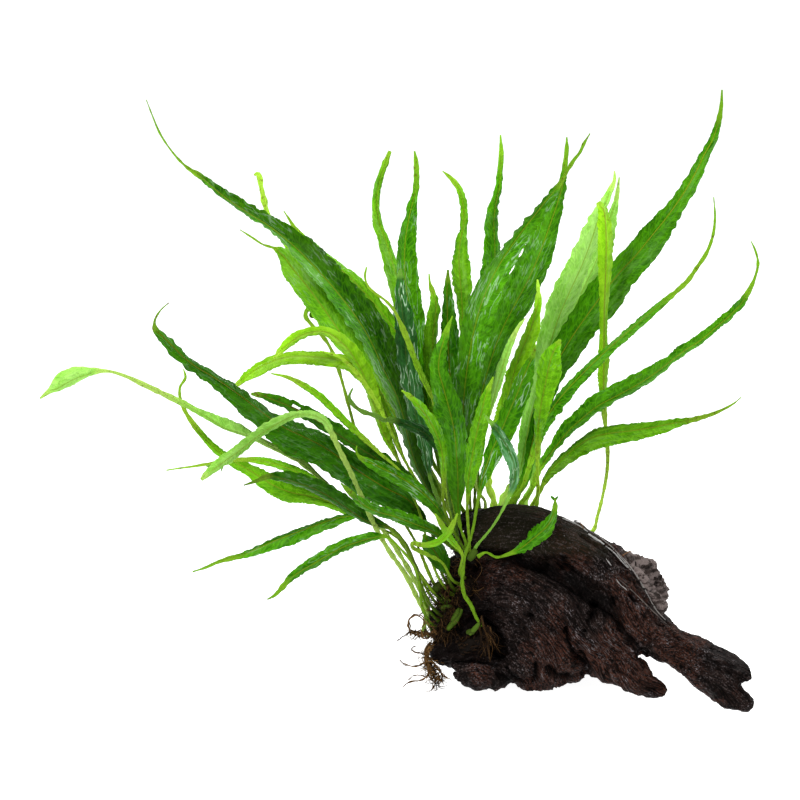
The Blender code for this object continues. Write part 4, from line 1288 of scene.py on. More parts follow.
LEAVES = (
    Leaf("leaf_left_sweep", Crown.UPPER, 0.3, 0, 40, 18, (
        (-35, 74, 2.4), (-39.5, 85, 6), (-43, 98, 9), (-46, 112, 12), (-53, 129, 13), (-61, 143, 13),
        (-70, 154.5, 12), (-78, 164, 11), (-88, 174.5, 8.5), (-100, 183.5, 6), (-110, 189.5, 4.6),
        (-120, 196, 3.6), (-128, 202, 2.6), (-133, 205.3, 1.2), (-140.5, 213.5, 0.6), (-144, 219, 0.9),
        (-147, 226, 0.6), (-149.5, 232.5, 0.4)),
        Look(Tone.GLOSSY, wave=0.9, brown=0.4, split=-0.5, shade=0.46, sheen=(0.8, 0.25), painted_glints=0.35,
             rib=0.9, jag=1.6)),
    Leaf("leaf_left_sweep_pale", Crown.UPPER, 0.36, 26, 32, 15, (
        (-48, 104, 5), (-55, 117, 9), (-62, 128, 11), (-69, 138, 12), (-76, 147.5, 12), (-83, 156.5, 11.5),
        (-90, 165, 9.5), (-95.5, 171.5, 4.5), (-98, 173, 1.2), (-103, 174.7, 0.8), (-107, 177.3, 0.9),
        (-112, 180.5, 0.4)),
        Look(Tone.FRESH, wave=0.6, split=-0.12, shade=0.46, sheen=(0.25, 0.7), rib=0.9)),
    Leaf("leaf_left_sweep_dark", Crown.UPPER, 0.33, 14, -40, 15, (
        (-38, 112, 4), (-44, 128, 6), (-52, 141, 8), (-60, 151, 8), (-68, 159.5, 7.5), (-76, 167, 5),
        (-84, 174.5, 3.5), (-90, 181, 1.7), (-92.5, 185, 1.1), (-94.5, 188, 0.4)),
        Look(Tone.FRESH, wave=0.6, shade=0.48, sheen=(0.2, 0.1), painted_glints=0.0)),
    Leaf("leaf_left_hook", Crown.UPPER, 0.39, 38, 0, 10, (
        (-50, 110, 2), (-76, 152, 3), (-94, 176, 3), (-100.8, 186, 2.5), (-102.3, 192, 2.4),
        (-103.6, 198, 2.3), (-104.2, 201.5, 2.1), (-105, 203, 1.5), (-106.3, 202.3, 0.6)),
        Look(Tone.YELLOW, wave=0.5, sheen=(0.1, 0.6), painted_glints=0.0)),
    Leaf("leaf_left_bent", Crown.UPPER, 0.27, -24, 24, 25, (
        (-45, 80, 1.4), (-50, 91, 2.5), (-54, 99, 3.5), (-57, 109, 5), (-60, 119, 6), (-65, 129, 6),
        (-71, 136, 5), (-78, 140, 3.4), (-85, 139.5, 3.4), (-91, 136.8, 4), (-95, 133, 3),
        (-98.5, 129, 1)),
        Look(Tone.YELLOW, wave=0.5, split=-0.1, sheen=(0.5, 0.1), painted_glints=0.0)),
    Leaf("leaf_left_broad", Crown.UPPER, 0.24, -12, -24, 12, (
        (-46, 88, 1.4), (-52, 102, 4), (-57, 113, 5.5), (-62, 121, 5.5), (-68, 126.5, 5.6),
        (-75, 128.2, 5.6), (-83, 129.2, 5.8), (-91, 129.3, 5.4), (-98, 127.8, 5.6), (-104, 125, 5.6),
        (-109.5, 121.5, 4.2), (-113.5, 118.3, 1.2)),
        Look(Tone.YELLOW, wave=0.5, shade=0.42, sheen=(0.7, 0.25), painted_glints=0.0, rib=0.4, jag=1.3)),
    Leaf("leaf_left_thread", Crown.UPPER, 0.21, -34, 0, 0, (
        (-48, 92, 1.2), (-54, 105, 1.6), (-58, 112.5, 1.8), (-62.5, 119.5, 1.9), (-67, 125, 1.8),
        (-73, 130, 1.2), (-80, 132, 0.5)),
        Look(Tone.FRESH, wave=0.1, shade=0.62, painted_foot_shade=0.2)),
    Leaf("leaf_left_short", Crown.LOWER, 0.67, -40, 0, 10, (
        (-42, 72, 1.2, -25), (-48, 84, 1.2, -28), (-56, 91, 1.6), (-63, 97.5, 2.4), (-69, 103, 2.9),
        (-75, 109, 3), (-81, 114.5, 3), (-87, 118.5, 2.6), (-93, 121.5, 1.6), (-99.5, 123, 0.5)),
        Look(Tone.FRESH, wave=0.4, painted_glints=0.0)),
    Leaf("leaf_left_coiled", Crown.LOWER, 0.57, 30, 0, 0, (
        (-42, 56, 1.2), (-58, 83, 1.2), (-66, 101, 1.2), (-69, 112, 1.3), (-71.5, 121, 1.4),
        (-74, 129, 1.4), (-77.5, 136, 1.4), (-81, 140, 1.4), (-84, 143.3, 1.5), (-85.8, 146, 1.6),
        (-85.2, 148.3, 1.6), (-83, 148.8, 1.5), (-81.9, 147.2, 1.3)),
        Look(Tone.FRESH, wave=0.0, shade=0.38, painted_foot_shade=0.3, coil=1.25, stout=1.0)),
    Leaf("leaf_left_big", Crown.LOWER, 0.75, -24, -32, 18, (
        (-37, 62, 1.8, -20), (-45, 71, 7, -20), (-55, 76, 11, -21), (-64, 82, 13), (-72, 87.5, 13.5),
        (-80, 92.5, 13.5), (-88, 95.8, 13), (-94, 98.5, 12), (-100, 102.8, 10), (-106, 107.5, 8.8),
        (-112, 112.5, 7.6), (-118, 117.3, 6.4), (-124, 121.5, 5), (-130, 125.2, 4.2), (-135, 129, 4.2),
        (-139.5, 133.5, 4.4), (-143, 137.3, 3.6), (-146, 141, 2.4), (-146.2, 143.5, 0.9), (-144, 148, 0.7),
        (-140.5, 151.3, 0.4)),
        Look(Tone.DARK, wave=1.0, brown=0.5, sheen=(0.25, 0.2), painted_glints=0.08, rib=0.9)),
    Leaf("leaf_left_holed", Crown.UPPER, 0.165, -46, 32, 12, (
        (-38, 74, 2), (-46, 81.5, 4.6), (-54, 87.5, 6.8), (-62, 93, 7), (-70, 98, 7), (-78, 103, 6.6),
        (-86, 107.5, 5.6), (-93, 110.8, 4.4), (-100, 113.3, 3.6), (-105, 114.6, 2.2),
        (-107.5, 114.8, 0.8)),
        Look(Tone.DARK, wave=0.9, hole=(0.83, 0.25), brown=0.8, sheen=(0.1, 0.1), painted_glints=0.0)),
    Leaf("leaf_left_arching", Crown.LOWER, 0.03, -84, 32, 25, (
        (-37.6, 26, 1.9), (-41.5, 34, 1.9), (-45, 41.2, 1.9), (-53.2, 53.4, 1.8), (-59.2, 64.4, 1.8),
        (-63.5, 74, 1.8), (-68, 84, 1.8), (-72, 92, 2), (-75.5, 99.5, 2.4), (-78.5, 104.5, 3.2),
        (-83, 106.6, 3), (-89, 106.6, 2.8), (-95, 104.7, 3.6), (-101, 101.5, 4), (-107, 97, 4),
        (-113, 92.3, 4.2), (-118.5, 88.5, 4.2), (-123, 85, 4), (-127.5, 80.5, 1)),
        Look(Tone.PALE, stout=1.05, wave=0.6, shade=0.33, sheen=(0.25, 0.15), painted_glints=0.05,
             lobes=((0.93, -0.9, 5.0), (0.96, 0.8, 4.0)), jag=1.3, painted_foot_shade=-0.45)),
    Leaf("leaf_left_longest", Crown.LOWER, 0.11, -10, 48, 25, (
        (-37, 30, 1.8, -12.5), (-42, 40, 1.8, -12), (-49, 52, 1.8, -11.5), (-60, 66, 1.6), (-70, 72.5, 2),
        (-76, 77, 2.2), (-83, 84, 2.2), (-88, 88, 2.2), (-94, 91.3, 2.6), (-100, 94.3, 2.4),
        (-107, 97.8, 2.8), (-112, 100.8, 4), (-117, 102.5, 4.2), (-122, 104.8, 3.6), (-128, 107.5, 2.8),
        (-135, 111.2, 2.6), (-143, 115, 2.2), (-151, 118.8, 2), (-158, 122, 1.5), (-164, 123.8, 1.1),
        (-170, 124, 2.6), (-176, 123.2, 5.2), (-181, 121.3, 6.6), (-185, 118.5, 4.6), (-188.5, 115.8, 2.2),
        (-192, 113, 0.5)),
        Look(Tone.PALE, stout=1.05, wave=0.5, shade=0.44, split=0.1, sheen=(0.25, 0.35), painted_glints=0.05,
             painted_foot_shade=0.1)),
    Leaf("leaf_left_thin", Crown.LOWER, 0.43, 8, 0, 15, (
        (-50, 58, 1.2), (-60, 63, 1.6), (-68, 67.5, 3), (-76, 71.5, 5.5), (-84, 74, 7), (-92, 75.6, 8.4),
        (-98, 78, 8), (-103, 81, 6.4), (-109, 84.8, 4.6), (-116, 88.6, 3.6), (-122, 93, 3),
        (-127, 98.3, 2.8), (-131, 103.3, 2.2), (-134, 108, 1.7), (-136, 113.5, 1.4), (-136, 117.5, 1),
        (-133.8, 121.5, 1.1), (-134.6, 124.8, 0.4)),
        Look(Tone.FRESH, wave=0.6, sheen=(0.2, 0.1), painted_glints=0.0, painted_foot_shade=1.25)),
    Leaf("leaf_left_wide_low", Crown.LOWER, 0.35, -52, 40, 22, (
        (-52, 61, 2), (-60, 64.5, 4), (-67, 69, 5.5), (-74, 74, 6), (-81, 78, 6), (-88, 80.5, 5.5),
        (-95, 82, 4), (-101, 81.8, 2.2), (-106, 79.8, 1.4), (-110.5, 78.3, 0.5)),
        Look(Tone.DARK, wave=0.8, split=-0.15, shade=0.40, sheen=(0.5, 0.2), painted_glints=0.15)),
    Leaf("leaf_left_light", Crown.LOWER, 0.51, -20, 16, 12, (
        (-56, 64, 1.2), (-66, 69.5, 2), (-74, 74.5, 3), (-80, 78.5, 3.4), (-86, 82.5, 3.6), (-92, 85, 3.6),
        (-98, 87, 3.2), (-104, 88.2, 3), (-110, 88.6, 2), (-117, 88.2, 1.4), (-124, 87, 1.2),
        (-131, 85.8, 1), (-137, 85, 0.8), (-141.5, 84.3, 0.5)),
        Look(Tone.FRESH, wave=0.4)),
    Leaf("leaf_left_low", Crown.LOWER, 0.27, -34, -32, 30, (
        (-48, 57.5, 1.4), (-53, 61.5, 1.4), (-58, 65, 1.6), (-64, 66.3, 2.6), (-70, 65, 3.4),
        (-77, 62.8, 4.4), (-84, 60, 5), (-91, 57.3, 5.2), (-98, 54.8, 5), (-104, 52.5, 4),
        (-110, 50.5, 2.8), (-116, 49, 2.2), (-121, 47.5, 1.6), (-126, 45.3, 1), (-131, 43.7, 0.5)),
        Look(Tone.GLOSSY, wave=0.8, split=-0.2, sheen=(0.5, 0.1))),
    Leaf("leaf_left_lowest", Crown.LOWER, 0.19, -76, 32, 20, (
        (-43, 47, 1.3), (-49, 54, 1.3), (-54, 57.8, 1.8), (-59, 57.8, 3.6), (-65, 56.3, 4.4),
        (-71, 54.2, 4.8), (-77, 51, 4.8), (-83, 47.3, 4.6), (-88, 44.3, 4), (-92, 41, 2.8), (-95.5, 37, 2),
        (-98.5, 34, 1.2), (-101, 32.7, 0.5)),
        Look(Tone.GLOSSY, wave=0.8, sheen=(0.5, 0.1))),
    Leaf("leaf_front_left", Crown.UPPER, 0.075, -64, 24, 15, (
        (-28, 54, 1.6), (-34, 60, 4), (-42, 63.5, 5.4), (-50, 66.5, 5), (-58, 68.8, 4.2), (-64, 72, 3.4),
        (-68.5, 76, 2), (-71.5, 79, 0.5)),
        Look(Tone.GLOSSY, wave=0.7, shade=0.42, painted_glints=0.25)),
    Leaf("leaf_front_glossy", Crown.UPPER, 0.02, -48, -24, 15, (
        (-29, 63, 1.6), (-34, 69.5, 4), (-39, 74.5, 5.5), (-45, 79, 6.2), (-51, 82.5, 6), (-57, 85.6, 4.6),
        (-61.5, 88, 3), (-64.5, 90, 1.6), (-65.5, 92, 0.8), (-65.3, 94, 0.4)),
        Look(Tone.GLOSSY, wave=0.7, shade=0.40, painted_glints=0.5)),
    Leaf("leaf_front_twisted", Crown.UPPER, 0.13, -52, 30, 10, (
        (-28.6, 75, 1.4, -13), (-29.4, 86, 2, -15.4), (-32.4, 93.5, 3.6, -17.4), (-36.6, 98.4, 5, -19),
        (-42, 101.6, 4.4, -24), (-47, 103.4, 3.2, -29), (-52, 104.6, 2.2, -34), (-55, 104.6, 1.6),
        (-58, 106.2, 1.8), (-63, 107.8, 1.8), (-66.5, 110.3, 1.8), (-68.3, 113.5, 1.4), (-67, 117, 0.5)),
        Look(Tone.BLUE, wave=0.5, shade=0.42, sheen=(0.1, 0.3), painted_glints=0.2)),
    Leaf("leaf_top_wet", Crown.UPPER, 0.18, -8, 24, 12, (
        (-36, 82, 2), (-37.5, 92, 6), (-40, 103, 8), (-42.5, 114, 8.6), (-44.5, 126, 9), (-45.5, 138, 9),
        (-46.5, 147, 7.6), (-47.6, 154, 5), (-48, 160, 3.2), (-47.8, 165, 1)),
        Look(Tone.BLUE, wave=1.0, sheen=(0.2, 0.4), painted_glints=0.85)),
    Leaf("leaf_top_left", Crown.UPPER, 0.415, 48, -48, 15, (
        (-38.5, 92, 1.6, 27), (-40, 106, 4, 31), (-43.5, 130, 6), (-47, 148, 6), (-50, 160, 5.4),
        (-52.5, 169, 5), (-54.5, 176, 4.6), (-57, 183, 4), (-57.7, 190, 3.2), (-57, 197.5, 3),
        (-55.4, 203, 2.7), (-53.3, 208.5, 2.5), (-52, 212, 1.2)),
        Look(Tone.FRESH, wave=0.5, sheen=(0.75, 0.35), painted_glints=0.1)),
    Leaf("leaf_top_left_inner", Crown.UPPER, 0.45, 30, 40, 12, (
        (-35, 88, 2), (-39, 110, 7), (-42, 130, 8.5), (-43.5, 148, 8.5), (-44.8, 160, 8.4),
        (-45.2, 170, 8), (-44.8, 178, 6.6), (-43.8, 185, 4.4), (-42.8, 191, 3), (-41.6, 197, 2.6),
        (-41.4, 203, 2.4), (-41.6, 208, 1.8), (-42.2, 212, 0.6)),
        Look(Tone.GLOSSY, wave=0.9, shade=0.56, sheen=(0.45, 0.1), painted_glints=0.3)),
    Leaf("leaf_top_thread", Crown.UPPER, 0.15, -30, 0, 0, (
        (-30, 88, 1), (-32, 102, 1.4), (-34.5, 112, 2.2), (-38, 119.5, 2.6), (-42, 128.5, 2.6),
        (-45, 136.5, 2.2), (-48, 143.5, 1.8), (-50.5, 148.5, 1.4), (-54, 152.3, 1), (-58, 155.2, 0.9),
        (-61, 158.3, 0.9), (-62, 162, 1), (-61.4, 165.5, 0.7)),
        Look(Tone.FRESH, wave=0.1, shade=0.45, painted_foot_shade=0.5)),
    Leaf("leaf_top_light", Crown.UPPER, 0.2, 14, -32, 15, (
        (-30, 80, 1.6), (-32, 100, 4), (-34.5, 118, 6.5), (-36, 130, 7), (-35.8, 139, 6.4),
        (-35, 145, 5.4), (-34.2, 150, 4.2), (-34.8, 155, 2.4), (-36, 159, 1), (-36.4, 163, 0.5)),
        Look(Tone.FRESH, wave=0.7, painted_glints=0.1, shade=0.44, painted_foot_shade=0.9)),
    Leaf("leaf_top_dark", Crown.UPPER, 0.23, 6, 32, 15, (
        (-26, 80, 1.6), (-26.5, 100, 5), (-27, 118, 7), (-27.8, 132, 7), (-28.3, 144, 6),
        (-28.6, 152, 4.6), (-28.9, 159, 2.8), (-28.8, 164.5, 0.8)),
        Look(Tone.DARK, wave=0.6, shade=0.52)),
    Leaf("leaf_top_crooked", Crown.UPPER, 0.48, 28, 32, 15, (
        (-20.5, 84, 1.6), (-21, 110, 4), (-22, 130, 5), (-22.3, 144, 4.4), (-22.5, 152, 5.8),
        (-23, 160, 7.2), (-23.6, 168, 6.6), (-23.4, 175, 4.9), (-22.5, 181, 3.1), (-22.2, 187, 3.3),
        (-22.8, 192, 3.1), (-24.5, 197, 2.7), (-27.5, 201, 1.7), (-31, 204, 0.5)),
        Look(Tone.FRESH, wave=0.9, shade=0.45, sheen=(0.1, 0.5), painted_glints=0.05, jag=1.5)),
    Leaf("leaf_top_middle", Crown.UPPER, 0.53, 42, -40, 15, (
        (-17, 92, 1.6), (-17.5, 115, 6), (-16.5, 135, 8.5), (-14.5, 150, 9.5), (-12.5, 160, 9.5),
        (-11.5, 168, 9), (-11.4, 176, 7.4), (-11.5, 184, 6.2), (-10.4, 191, 4), (-8.7, 197, 3),
        (-8, 204, 2.7), (-7.5, 210, 2.4), (-7.8, 218.5, 0.5)),
        Look(Tone.GLOSSY, wave=0.9, shade=0.66, sheen=(0.1, 0.35), painted_glints=0.05)),
    Leaf("leaf_top_big_front", Crown.UPPER, 0.26, -30, 32, 18, (
        (-22, 82, 1.8), (-22.3, 96, 5), (-21.5, 112, 8), (-20, 128, 10), (-17.5, 141, 10.4),
        (-14, 152, 10.4), (-9.5, 162, 9.6), (-4, 171, 8.4), (2, 179.5, 7), (8, 187.5, 5.4),
        (13, 194.5, 3.6), (17, 200.5, 1.6), (19.5, 205, 1.3), (21.5, 208.3, 1.5), (24, 211.5, 1.1),
        (25.5, 214.8, 1.3), (28, 219, 0.4)),
        Look(Tone.GLOSSY, wave=1.1, shade=0.45, split=0.12, sheen=(0.6, 0.2), painted_glints=0.4, painted_foot_shade=1.05)),
    Leaf("leaf_top_big_back", Crown.UPPER, 0.5, 10, -24, 15, (
        (-18, 78, 1.8), (-18.5, 95, 7), (-17, 112, 11), (-14, 126, 13), (-9, 139, 13.5), (-3, 151, 13.5),
        (3, 162, 13), (8, 173, 11), (12, 184, 8), (15, 193, 5.4), (17.2, 201, 3), (18.2, 208, 2.2),
        (18.7, 213, 1.7), (18.7, 217.5, 0.5)),
        Look(Tone.GLOSSY, wave=1.2, sheen=(0.3, 0.1), painted_glints=0.2)),
    Leaf("leaf_middle_pale", Crown.UPPER, 0.555, -14, 0, 12, (
        (-17, 76, 1.2), (-15.5, 92, 1.3), (-13.5, 103, 1.8), (-11, 112, 3), (-9, 119, 3.8), (-7, 126, 4),
        (-5, 132, 3.4), (-2.5, 138, 2.4), (0, 142.5, 1.3), (2.2, 145.2, 0.4)),
        Look(Tone.PALE, wave=0.6, painted_glints=0.2, painted_foot_shade=-0.4)),
    Leaf("leaf_middle_bright", Crown.UPPER, 0.6, 4, 32, 15, (
        (-12.6, 78, 2), (-11, 92, 3.6), (-7.6, 104, 5.5), (-4, 114, 7), (-1.5, 123, 8), (1.5, 131, 8),
        (4.2, 138, 6.8), (6.3, 144.5, 5), (7.2, 150, 3.4), (7.4, 155, 2.1), (7, 160.5, 0.5)),
        Look(Tone.YELLOW, wave=0.8, painted_glints=0.1, painted_foot_shade=-0.9, stout=1.5, shade=0.74)),
    Leaf("leaf_front_stalked", Crown.FRONT, 0.95, -56, 32, 15, (
        (-20, 31, 2), (-22, 34, 2), (-23, 38, 2), (-23, 43, 2), (-22, 50, 1.6), (-19, 60, 1.4),
        (-17.2, 70, 1.6), (-15.4, 78, 2.8), (-13, 85, 5), (-9.8, 93, 7.4), (-6, 101, 8.6),
        (-2.6, 109, 8.8), (0.4, 116, 8), (2.6, 122.5, 6), (4.6, 128, 3.4), (6, 133.5, 0.6)),
        Look(Tone.GLOSSY, wave=0.8, painted_glints=0.55, shade=0.43, painted_foot_shade=0.3)),
    Leaf("leaf_right_pale", Crown.UPPER, 0.64, 46, -32, 15, (
        (-1.6, 80, 2.4), (1, 92, 4.4), (3.6, 106, 6.4), (7, 120, 8), (10.5, 134, 9.5), (14.5, 146, 11),
        (19, 157, 11), (23.5, 167, 10), (27.5, 177, 8.5), (30.5, 185, 6.5), (33.5, 191, 4.2),
        (36, 196, 2.6), (37.8, 200.5, 1.5), (37.8, 204, 0.5)),
        Look(Tone.PALE, wave=1.0, shade=0.52, sheen=(0.4, 0.5), painted_glints=0.1, rib=0.9, painted_foot_shade=-1.0,
             stout=1.7)),
    Leaf("leaf_right_pale_back", Crown.UPPER, 0.747, 64, 32, 12, (
        (5, 78, 1.8), (7, 96, 4), (10, 112, 6), (15, 130, 7.5), (20.5, 144, 9), (26, 156, 9.5),
        (31, 167, 8.5), (34.5, 177, 6.5), (37, 186, 4), (38.6, 193, 2.4), (39.7, 201.5, 0.5)),
        Look(Tone.PALE, wave=0.8, shade=0.46, painted_glints=0.0, painted_foot_shade=-1.0, stout=1.6)),
    Leaf("leaf_front_upright", Crown.UPPER, 0.774, -30, 24, 15, (
        (6.8, 74, 1.2), (7, 82, 1.2), (7, 92, 1.5), (7.5, 100, 3.2), (8.5, 108, 5.5), (9.8, 115, 7.6),
        (11, 121, 9.4), (12, 126, 9.6), (13, 130, 8), (14.5, 133.5, 4), (16, 136.5, 0.6)),
        Look(Tone.FRESH, wave=0.9, shade=0.48, painted_glints=0.1, painted_foot_shade=-1.0, stout=1.2)),
    Leaf("leaf_right_upright", Crown.UPPER, 0.98, 12, -16, 20, (
        (25.5, 58.5, 1.4, 27), (29, 60, 1.4, 26), (31, 66, 1.3, 25), (33.5, 76, 1.3), (35, 86, 1.4),
        (34.9, 95, 1.5), (34, 104, 1.8), (33.3, 112, 3), (33.1, 120, 3.9), (33.3, 130, 4),
        (33.4, 140, 3.6), (33.5, 150, 3.8), (33.8, 158, 4.6), (34, 167, 6.2), (34, 176, 7),
        (33.6, 184, 6.2), (32.8, 189, 4), (31.2, 191.5, 1)),
        Look(Tone.YELLOW, wave=0.8, shade=0.41, split=-0.1, sheen=(0.0, 0.6), painted_glints=0.0, rib=0.9,
             painted_foot_shade=-1.0, stout=1.1)),
    Leaf("leaf_right_big", Crown.UPPER, 0.692, 30, 24, 12, (
        (2.4, 82, 3), (4.6, 92, 4.6), (8, 106, 6.4), (10.5, 115, 8), (14, 124, 9), (18.5, 132.5, 12),
        (23.5, 140.5, 13), (29, 148, 13.5), (35, 155.5, 14), (41, 163, 13.5), (47, 169.5, 12.5),
        (52.5, 176.5, 11), (58, 183.5, 8.7), (63, 190.5, 6.6), (67.5, 197.5, 5.6), (71, 204, 4.8),
        (74, 210.5, 4.2), (77, 216, 3.6), (79, 222, 2.8), (80.5, 230, 1.5), (80.8, 236.5, 0.6)),
        Look(Tone.GLOSSY, wave=1.0, brown=0.2, shade=0.45, sheen=(0.05, 0.6), painted_glints=0.05, rib=1.0,
             painted_foot_shade=-1.0, stout=1.7, jag=0.6)),
    Leaf("leaf_right_dusty", Crown.UPPER, 0.666, -20, 32, 20, (
        (0, 76, 1.4), (3.5, 85, 1.8), (6, 93, 2.6), (9.5, 101.5, 4.8), (14, 109, 5.6), (19.5, 116, 5.2),
        (25, 122, 4.4), (31, 128, 4), (37.5, 134, 3.8), (44, 139.7, 3.6), (50.5, 145.5, 3.2),
        (57, 151.2, 2.8), (62.5, 155.8, 2.2), (67, 160, 2), (70.5, 165, 1.6), (74.5, 171, 1.6),
        (77, 177.5, 1.2), (78, 185, 1), (77.5, 193.5, 0.4)),
        Look(Tone.GLOSSY, wave=0.7, shade=0.54, brown=0.6, sheen=(0.6, 0.3), painted_glints=0.05, painted_foot_shade=-1.0,
             stout=1.2)),
    Leaf("leaf_right_long", Crown.UPPER, 0.72, -36, -32, 20, (
        (4.5, 76, 1.4), (6.5, 82, 1.8), (10, 88.5, 3), (14, 94.5, 4.4), (19, 101, 6), (25, 106.5, 7),
        (31, 111.5, 8), (37, 114.8, 7.4), (43, 118, 7), (49.5, 121.5, 6.6), (55, 125, 6), (60, 128.5, 3.6),
        (66, 133, 3.8), (72, 136.8, 3.8), (78, 141.8, 3.6), (84, 147, 3.6), (88.5, 151.5, 3),
        (91.8, 156.5, 2.2), (94, 161.5, 1.2), (95.2, 167, 1.2), (94.2, 172, 0.9), (92.5, 175.8, 0.4)),
        Look(Tone.GLOSSY, wave=0.8, shade=0.54, split=0.1, sheen=(0.1, 0.4), painted_glints=0.05, painted_foot_shade=-1.0,
             stout=1.2)),
    Leaf("leaf_right_low", Crown.UPPER, 0.801, -12, 24, 25, (
        (7.5, 74.5, 1.4), (9.5, 79, 2), (13, 84, 3.8), (18, 88.5, 5), (24, 93, 6.4), (30, 96.5, 7.6),
        (37, 98.3, 7.8), (44, 99.3, 7.4), (51, 100.5, 6.2), (58, 102, 4.6), (65, 103.6, 2.8),
        (71, 105, 2.2), (77, 106.8, 1.6), (82, 109, 1), (85.5, 111, 0.8), (88.5, 113.5, 0.4)),
        Look(Tone.FRESH, wave=0.7, shade=0.34, split=0.12, sheen=(0.1, 0.3), painted_glints=0.05, painted_foot_shade=-1.0,
             stout=1.1)),
    Leaf("leaf_on_wood", Crown.UPPER, 0.01, -36, 24, 10, (
        (-9, 49.5, 1.2), (-5, 50.6, 1.6), (-1.5, 52, 2.6), (2, 54, 4.4), (5.5, 56.8, 6), (8.8, 59.6, 6.4),
        (11.5, 62.5, 5.4), (13.2, 66, 3.6), (14, 69.5, 2.2), (14, 73, 0.5)),
        Look(Tone.GLOSSY, wave=0.8, brown=0.2, sheen=(0.2, 0.5), painted_glints=0.2, painted_foot_shade=0.2, jag=2.2,
             lobes=((0.985, -0.5, 3.2), (0.985, 0.5, 2.6)))),
    Leaf("leaf_front_bluish", Crown.UPPER, 0.03, -62, -24, 15, (
        (-14, 58, 1.2, -18), (-10.5, 62.5, 1.2), (-7.5, 67.5, 1.3), (-5, 72.5, 1.8), (-3, 77.5, 3),
        (-2.3, 82.5, 3.8), (-3, 88, 4.2), (-5.2, 93, 4.4), (-8, 98, 4), (-10.5, 102, 3),
        (-13.8, 106, 0.6)),
        Look(Tone.BLUE, wave=0.6, shade=0.8, sheen=(0.6, 0.8), painted_glints=0.3, painted_foot_shade=0.3)),
    Leaf("leaf_front_middle", Crown.UPPER, 0.06, -30, -24, 15, (
        (-24, 62, 1.6), (-25, 70, 3.2), (-25.4, 80, 7.4), (-26, 90, 10), (-27, 100, 11),
        (-29.2, 110, 10.4), (-31.2, 118, 8), (-32.8, 125, 5.8), (-32.2, 131, 4.6), (-30.3, 137, 3),
        (-28.8, 141.5, 1.8), (-27, 146, 0.5)),
        Look(Tone.GLOSSY, wave=0.9, shade=0.46, sheen=(0.2, 0.1), painted_glints=0.12, painted_foot_shade=0.35)),
    Leaf("leaf_front_small", Crown.UPPER, 0.105, -46, 16, 15, (
        (-30.5, 70, 1.2), (-30.5, 82, 2.4), (-31, 92, 4), (-33.5, 100, 4.6), (-37, 106, 4.6),
        (-40.5, 110.5, 3.8), (-44, 113.8, 2.2), (-47.2, 116.2, 0.5)),
        Look(Tone.FRESH, wave=0.6, painted_foot_shade=1.3, shade=0.44)),
    Leaf("leaf_front_bright", Crown.UPPER, 0.04, -50, 32, 15, (
        (-21, 72, 1.6), (-20, 80, 4), (-18.6, 88, 6), (-17, 97, 6.8), (-15.3, 104.5, 6.4),
        (-13.8, 111, 4.8), (-12.8, 116, 2.8), (-10.7, 121.5, 0.5)),
        Look(Tone.FRESH, wave=0.8, shade=0.42, painted_glints=0.1, painted_foot_shade=0.35)),
    Leaf("leaf_front_curled", Crown.LOWER, 0.88, -40, 0, 10, (
        (-32, 48, 1.6, -27), (-38, 51, 2.4, -32), (-43, 53.6, 2, -35), (-43.2, 55, 1.8, -37),
        (-38, 54.4, 2.4, -39), (-33, 55.6, 3, -40), (-29, 59, 2.8, -40), (-26.5, 63.5, 2, -40),
        (-25, 67, 0.5, -40)),
        Look(Tone.FRESH, wave=1.0, shade=0.40, sheen=(0.6, 0.3), painted_glints=0.1, painted_foot_shade=0.2, stout=0.7)),
    Leaf("leaf_low_dark", Crown.LOWER, 0.785, -22, 8, 10, (
        (-29, 43, 1.6, -19), (-31.4, 47.5, 7, -21), (-34.4, 52.5, 9, -22), (-37, 56.2, 6, -22.8),
        (-38.6, 58.6, 0.8, -23.4)),
        Look(Tone.DARK, wave=0.6, shade=0.36, painted_foot_shade=0.3, painted_glints=0.1)),
    Leaf("leaf_front_sprout", Crown.LOWER, 0.98, -38, 0, 12, (
        (-23, 50, 1.6, -20), (-28, 57, 3.2, -27), (-31, 62, 2.6, -32), (-34, 67, 0.5, -38)),
        Look(Tone.FRESH, wave=0.4, shade=0.52, sheen=(0.5, 0.2), painted_foot_shade=0.3)),
)


@dataclass(frozen=True)
class Fern:
    """All the fronds and the creeping stem they grow from.

    Attributes:
        leaves: the fronds.
        stem_seed: the seed of the first length of stem.
        leaf_seed: the seed of the first frond.
    """

    leaves: tuple[Leaf, ...] = LEAVES
    stem_seed: int = 3
    leaf_seed: int = 11

    def build(self) -> None:
        """Makes every stem and frond, each with its finish."""
        material = STEM_FINISH.build()
        for seed, stem in enumerate(RHIZOMES.values(), self.stem_seed):
            stem.build(material, seed)
        finishes = {finish.tone: finish.build() for finish in LEAF_FINISHES}
        for seed, one in enumerate(self.leaves, self.leaf_seed):
            one.build(finishes[one.look.tone], seed)
        log.info("fern: %d fronds on %d stems", len(self.leaves), len(RHIZOMES))


# Roots

# The lowest that a fine root's middle gets, in mm
ROOT_LOWEST = 0.8

